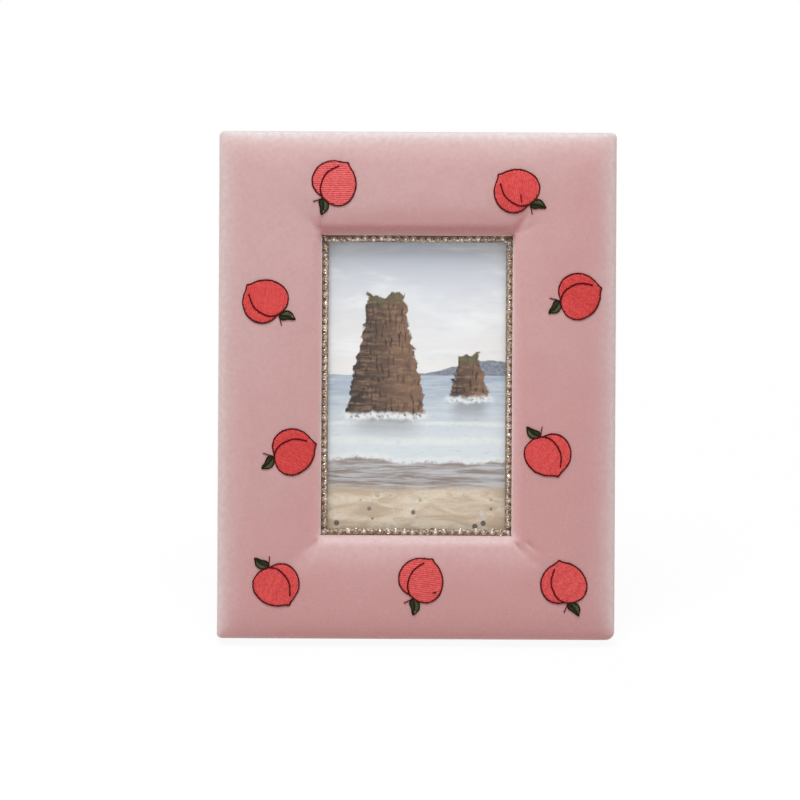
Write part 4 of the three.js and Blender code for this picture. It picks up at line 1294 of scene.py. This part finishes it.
def make_button_screw(place, x, up, finish, turn):
    """A pan-head screw, its cross slot sunk into the head."""
    shank = [(0, -6.1), (0.4, -5.6), (1.5, -4.4), (1.5, 2.7)]
    head = [(3.1, 2.7), (3.12, 3.05), (2.95, 3.5), (2.4, 3.9), (1.5, 4.12), (0, 4.2)]
    half_length, half_width, slot_floor = 2.0, 0.4, 3.35
    bm = turned(shank + head, 32)
    for normal in (Vector((1, 0, 0)), Vector((0, 0, 1))):
        for far in (-half_length, -half_width, half_width, half_length):
            domed = [face for face in bm.faces if face.calc_center_median().y > 3.1]
            cut_across(bm, domed, normal * far, normal, dist=1e-5)
    slot = []
    for face in bm.faces:
        centre = face.calc_center_median()
        narrow, wide = sorted((abs(centre.x), abs(centre.z)))
        if centre.y > 3.5 and wide < half_length and narrow < half_width:
            slot.append(face)
    sunk = bmesh.ops.extrude_face_region(bm, geom=slot)["geom"]
    bmesh.ops.delete(bm, geom=[face for face in slot if face.is_valid], context="FACES")
    for vert in points_of(sunk):
        vert.co.y = slot_floor
    face_out(bm)
    at = STAND @ Matrix.Translation((x, 0, up + MIDDLE)) @ Matrix.Rotation(turn, 4, "Y")
    name, node = f"button_screw_{place}", f"screw_{place}"
    new_piece(bm, name, [finish], at, nodes=[node], slot="nickel", sharp=30)


def rolled_leaf(half_width, half_middle, rolled, flat_y, far, near, way):
    """A hinge leaf of sheet metal: its middle or its ends roll on round the pin."""
    bm = bmesh.new()
    verts = [bm.verts.new((x, flat_y, far)) for x in (-half_width, -half_middle, half_middle, half_width)]
    edges = [bm.edges.new(pair) for pair in zip(verts, verts[1:])]
    ring, edges, _ = draw_on(bm, edges)
    for vert in ring:
        vert.co.z = near
    rolling = [edge for edge in edges if (abs(middle_of(edge).x) > 1) == (rolled == "ends")]
    radius = 1.2
    for degrees in range(0, 320, 20):
        turn = math.radians(degrees)
        ring, rolling, _ = draw_on(bm, rolling)
        for vert in ring:
            vert.co.y, vert.co.z = -radius * math.cos(turn), -way * radius * math.sin(turn)
    return bm


def make_hinge(finish, leg_finish):
    panel = rolled_leaf(15, 6, "ends", -1.8, 19, 2.6, 1)
    leg = rolled_leaf(15, 5.7, "middle", -1.2, -19, -2.2, -1)
    for bm, side, at, body, look in (
        (panel, "panel", HINGE, "frame", finish),
        (leg, "leg", LEG, "easel", leg_finish),
    ):
        name, node = f"{side}_hinge_leaf", f"hinge_{side}_leaf"
        piece = new_piece(bm, name, [look], at, body, [node], "nickel", sharp=40)
        give_thickness(piece, 0.72)
        round_off = piece.modifiers.new("edges", "BEVEL")
        round_off.width = 0.00015
        round_off.segments = 2
        round_off.limit_method = "ANGLE"
        round_off.angle_limit = math.radians(60)
    end = [(0, 16.2), (0.7, 16.15), (1.2, 15.9), (1.3, 15.3), (0.78, 15.3)]
    pin = turned([(radius, -y) for radius, y in end] + end[::-1], 20)
    bmesh.ops.rotate(pin, cent=(0, 0, 0), matrix=Matrix.Rotation(math.pi / 2, 3, "Z"), verts=pin.verts)
    new_piece(pin, "hinge_wire_pin", [finish], HINGE, nodes=["hinge_pin"], slot="nickel", sharp=35)


def make_rivet(leaf, side, x, z, seat, inner, at, body, finish):
    """A domed rivet through a hinge leaf: its head on the seat, its shank's end in the board."""
    head = [(2.4, 0), (2.42, 0.2), (2.2, 0.45), (1.6, 0.68), (0.8, 0.77), (0, 0.8)]
    shank = [(0, inner), (1.2, inner), (1.2, seat)]
    bm = turned(shank + [(radius, seat + y) for radius, y in head], 24)
    bmesh.ops.translate(bm, vec=(x, 0, z), verts=bm.verts)
    name, node = f"{leaf}_hinge_rivet_{side}", f"{leaf}_rivet_{side}"
    new_piece(bm, name, [finish], at, body, [node], "nickel", sharp=35)


def make_staple(board, z, crown, face, way, at, body, finish):
    """A wire staple with rounded shoulders, its points sunk into the face of a board."""
    half, bend, radius, sunk = 7, 0.7, 0.3, 1.8
    middle = crown + way * radius
    points = [(-half, face - way * sunk), (-half, middle - way * bend)]
    for degrees in (20, 45, 70):
        turn = math.radians(degrees)
        points.append((bend * (1 - math.cos(turn)) - half, middle - way * bend * (1 - math.sin(turn))))
    points += [(-6.2, middle), (0, middle)]
    points += [(-x, y) for x, y in reversed(points[:-1])]
    bm = bmesh.new()
    add_wire(bm, [Vector((x, y, z)) for x, y in points], radius)
    face_out(bm)
    new_piece(bm, f"{board}_wire_staple", [finish], at, body, [f"{board}_staple"], "nickel")


def on_leg(down):
    """A place down the open leg's front face, as y and z in the frame's own upright place."""
    return Vector((
        AXIS_BACK - math.cos(OPENING) + down * math.sin(OPENING),
        HINGE_HEIGHT - math.sin(OPENING) - down * math.cos(OPENING),
    ))


def make_ribbon_stay(finish):
    """A strip laid flat on the panel, across to the leg with a slight sag, and flat on the leg."""
    start, bend = Vector((PANEL_BACK + 0.5, 54)), Vector((PANEL_BACK + 0.5, 65.6))
    far, end = on_leg(104.4), on_leg(116)
    leaves, lands = bend + Vector((0.6, 0.3)), far + Vector((-0.6, 0.3))
    line = smooth_line([start, start.lerp(bend, 0.5), bend - Vector((0, 0.6)), leaves], False, 0.8)
    sag = []
    for i in range(1, 16):
        share = i / 16
        sag.append(leaves.lerp(lands, share) - Vector((0, math.sin(math.pi * share))))
    line += smooth_line([line[-1], *sag, lands], False, 1.2)[1:]
    line += smooth_line([line[-1], far + (end - far) * 0.05, far.lerp(end, 0.5), end], False, 0.8)[1:]
    run = [0]
    for first, second in zip(line, line[1:]):
        run.append(run[-1] + (second - first).length)
    bm = bmesh.new()
    weave = bm.loops.layers.uv.new("weave")
    bmesh.ops.create_grid(bm, x_segments=8, y_segments=len(line) - 1, size=0.5)
    for vert in bm.verts:
        row = round((vert.co.y + 0.5) * (len(line) - 1))
        across = vert.co.x
        for loop in vert.link_loops:
            loop[weave].uv = (RIBBON_WIDTH * (across + 0.5), run[row])
        curl = 0.12 * (2 * across) ** 2
        vert.co = (across * RIBBON_WIDTH, line[row].x + curl * 0.3, line[row].y + curl)
    face_out(bm)
    piece = new_piece(bm, "ribbon_strip", [finish], nodes=["ribbon_stay"], slot="ribbon")
    give_thickness(piece, 0.4)
    return piece, run[-1]


# Studio

def make_floor():
    """A white floor that fades into the white behind it, with a faint shadow near the frame."""
    bm = bmesh.new()
    bmesh.ops.create_grid(bm, x_segments=1, y_segments=1, size=12)
    mesh = mesh_of(bm, "studio_floor")
    floor = add_object("studio_floor", mesh)
    floor.location.z = -0.0004
    white = Finish("white_floor")
    where = white.node("TexCoord").outputs["Object"]
    colour = white.mix(white.noise(where, 3.0, 2.0), (0.86, 0.86, 0.86, 1), (0.88, 0.88, 0.88, 1))
    white.set(Base_Color=colour, Roughness=0.9, Specular_IOR_Level=0.0)
    reach = white.fed("VectorMath", "Value", {0: where}, operation="LENGTH")
    share = white.times(white.seen(), white.span(reach, 0.2, 0.9, 0.94, 1.0))
    white.show_mix(share, white.shader.outputs[0], white.node("Emission").outputs[0])
    mesh.materials.append(white.material)


def make_light():
    world = bpy.data.worlds.new("studio")
    bpy.context.scene.world = world
    world.use_nodes = True
    air = Shading(world.node_tree)
    background = air.nodes["Background"]
    air.feed(background.inputs["Strength"], air.span(air.seen(), 0.0, 1.0, 0.36, 1.0))
    background.inputs["Color"].default_value = (1, 1, 1, 1)
    for name, place, size, power in (
        ("overhead_softbox", (-0.08, -0.45, 1.4), 0.7, 16.5),
        ("back_fill", (-0.6, 1.6, 1.0), 1.0, 12),
    ):
        light = bpy.data.lights.new(name, "AREA")
        light.size = size
        light.energy = power
        lamp = add_object(name, light)
        lamp.location = place
        aim = Vector((0, 0, 0.12)) - Vector(place)
        lamp.rotation_euler = aim.to_track_quat("-Z", "Y").to_euler()


def make_camera():
    """Square on to the face, from far off with a long lens."""
    camera = bpy.data.cameras.new("camera")
    camera.lens = 135
    camera.sensor_width = 36
    camera.shift_x = -0.021
    camera.shift_y = -0.0181
    camera.clip_end = 100
    holder = add_object("camera", camera)
    centre = STAND @ Vector((0, -7, MIDDLE))
    back = Vector((0, -math.cos(LEAN), math.sin(LEAN)))
    holder.location = centre + back * 1.455
    aim = (-back).to_track_quat("-Z", "Y").to_matrix() @ Matrix.Rotation(math.radians(0.3), 3, "Z")
    holder.rotation_euler = aim.to_euler()
    bpy.context.scene.camera = holder
    bpy.context.scene.view_settings.view_transform = "Standard"


# Assembly
make_camera()
make_floor()
make_light()

velvet_skin, CLOTH = make_velvet_cover(make_velvet())
foam = make_foam_pad(make_foam())

line_threads = [
    make_thread("outline_thread", tint(76, 9, 7), tint(104, 17, 13), 0.06, 0.02),
    make_thread("crease_thread", tint(78, 3, 8), tint(104, 8, 13), 0.06, 0.02),
    make_thread("leaf_line_thread", tint(30, 18, 12), tint(50, 36, 24), 0.06, 0.02),
]
leaf_threads = [
    make_thread("leaf_dark_thread", tint(38, 43, 27), tint(60, 66, 43), 0.1, 0.04),
    make_thread("leaf_light_thread", tint(58, 64, 40), tint(98, 104, 70), 0.1, 0.04),
]
for peach in peaches:
    pale = peach.pale
    dark = tint(184 + 16 * pale, 42 + 26 * pale, 41 + 28 * pale)
    light = tint(230 + 10 * pale, 82 + 30 * pale, 79 + 32 * pale)
    peach.make_fruit(make_thread(f"fruit_thread_{peach.number}", dark, light))
    peach.make_leaf(leaf_threads)
    peach.make_lines(line_threads)

stone = make_grained(
    "cut_stone", (0.31, 2.0, 0.6), 0.4, 0.62, tint(178, 160, 144), tint(238, 232, 226),
    Metallic=0.75, Roughness=0.14, Coat_Weight=0.6, Coat_Roughness=0.03,
)
tape = make_grained(
    "bronze_tape", (1.6, 3.0, 0.6), 0.3, 0.7, tint(118, 94, 76), tint(160, 136, 114), (0.3, 0.0002),
    Roughness=0.6, Specular_IOR_Level=0.15,
)
chain_finishes = [make_cup_metal(), stone, tape]
cup = make_cup_mesh()
dice = random.Random(11)
for side, places in chain_places().items():
    make_chain(side, places, cup, chain_finishes, dice)
bpy.data.meshes.remove(cup)

card = make_grained(
    "grey_card", (1.4, 5.0, 0.75), 0.35, 0.65, tint(150, 146, 138), tint(178, 172, 160), (0.2, 0.0003),
    Roughness=0.9, Specular_IOR_Level=0.2,
)
make_plate("picture_glass", "glass_pane", 51.1, 76.5, -6.6, -4.6, 0.25, [make_glass()], "glass")
make_plate("paper_print", "photo_print", 50.8, 76.2, -4.3, -3.9, 0.05, [make_print()], "print")
make_plate("backing_card", "filler_card", 51.1, 76.5, -3.6, -2.0, 0.1, [card], "card")

board = make_grained(
    "brown_fibreboard", (1.2, 5.0, 0.7, 0.5), 0.3, 0.7, tint(128, 96, 64), tint(176, 142, 102),
    (0.3, 0.0004), (0.5, 0.5, 2.0), Roughness=0.9, Specular_IOR_Level=0.2,
)
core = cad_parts["frame_core"]
core.data.materials.clear()
core.data.materials.append(board)

board_edge = make_grained(
    "board_edge", (1.0, 4.0, 0.7), 0.35, 0.65, tint(44, 39, 38), tint(84, 74, 68), (0.3, 0.0002),
    (0.3, 2.5, 0.3), Roughness=0.85, Specular_IOR_Level=0.2,
)
flocked = [make_flock("black_flock", STAND, 0.5), board_edge]
panel = (PANEL_HALF_WIDTH, PANEL_HALF_HEIGHT, PANEL_BACK - PANEL_THICKNESS, PANEL_BACK)
make_plate("back_board", "back_panel", *panel, 0.35, flocked, "flocked_board")
make_rear_lining(flocked)
make_easel_leg([make_flock("leg_flock", LEG, 0.7), board_edge])

nickel = make_nickel("bright_nickel", STAND)
leg_nickel = make_nickel("leg_nickel", LEG)
screw_turn = 0.4
for side, x in (("left", -BUTTON_ACROSS), ("right", BUTTON_ACROSS)):
    for end, up in (("upper", BUTTON_UP), ("lower", -BUTTON_UP)):
        make_turn_button(f"{side}_{end}", x, up, nickel)
        make_button_screw(f"{side}_{end}", x, up, nickel, screw_turn)
        screw_turn += 0.7
make_hinge(nickel, leg_nickel)
for side, x in (("left", -9), ("right", 9)):
    make_rivet("panel", side, x, 12, -1.1, -4.7, HINGE, "frame", nickel)
    make_rivet("leg", side, x, -12, 2.8, -1.5, LEG, "easel", leg_nickel)
make_staple("panel", 60, PANEL_BACK + 0.85, PANEL_BACK, 1, STAND, "frame", nickel)
make_staple("leg", -110, -1.35, -0.5, -1, LEG, "easel", leg_nickel)
ribbon, ribbon_length = make_ribbon_stay(make_ribbon())

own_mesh(ribbon)
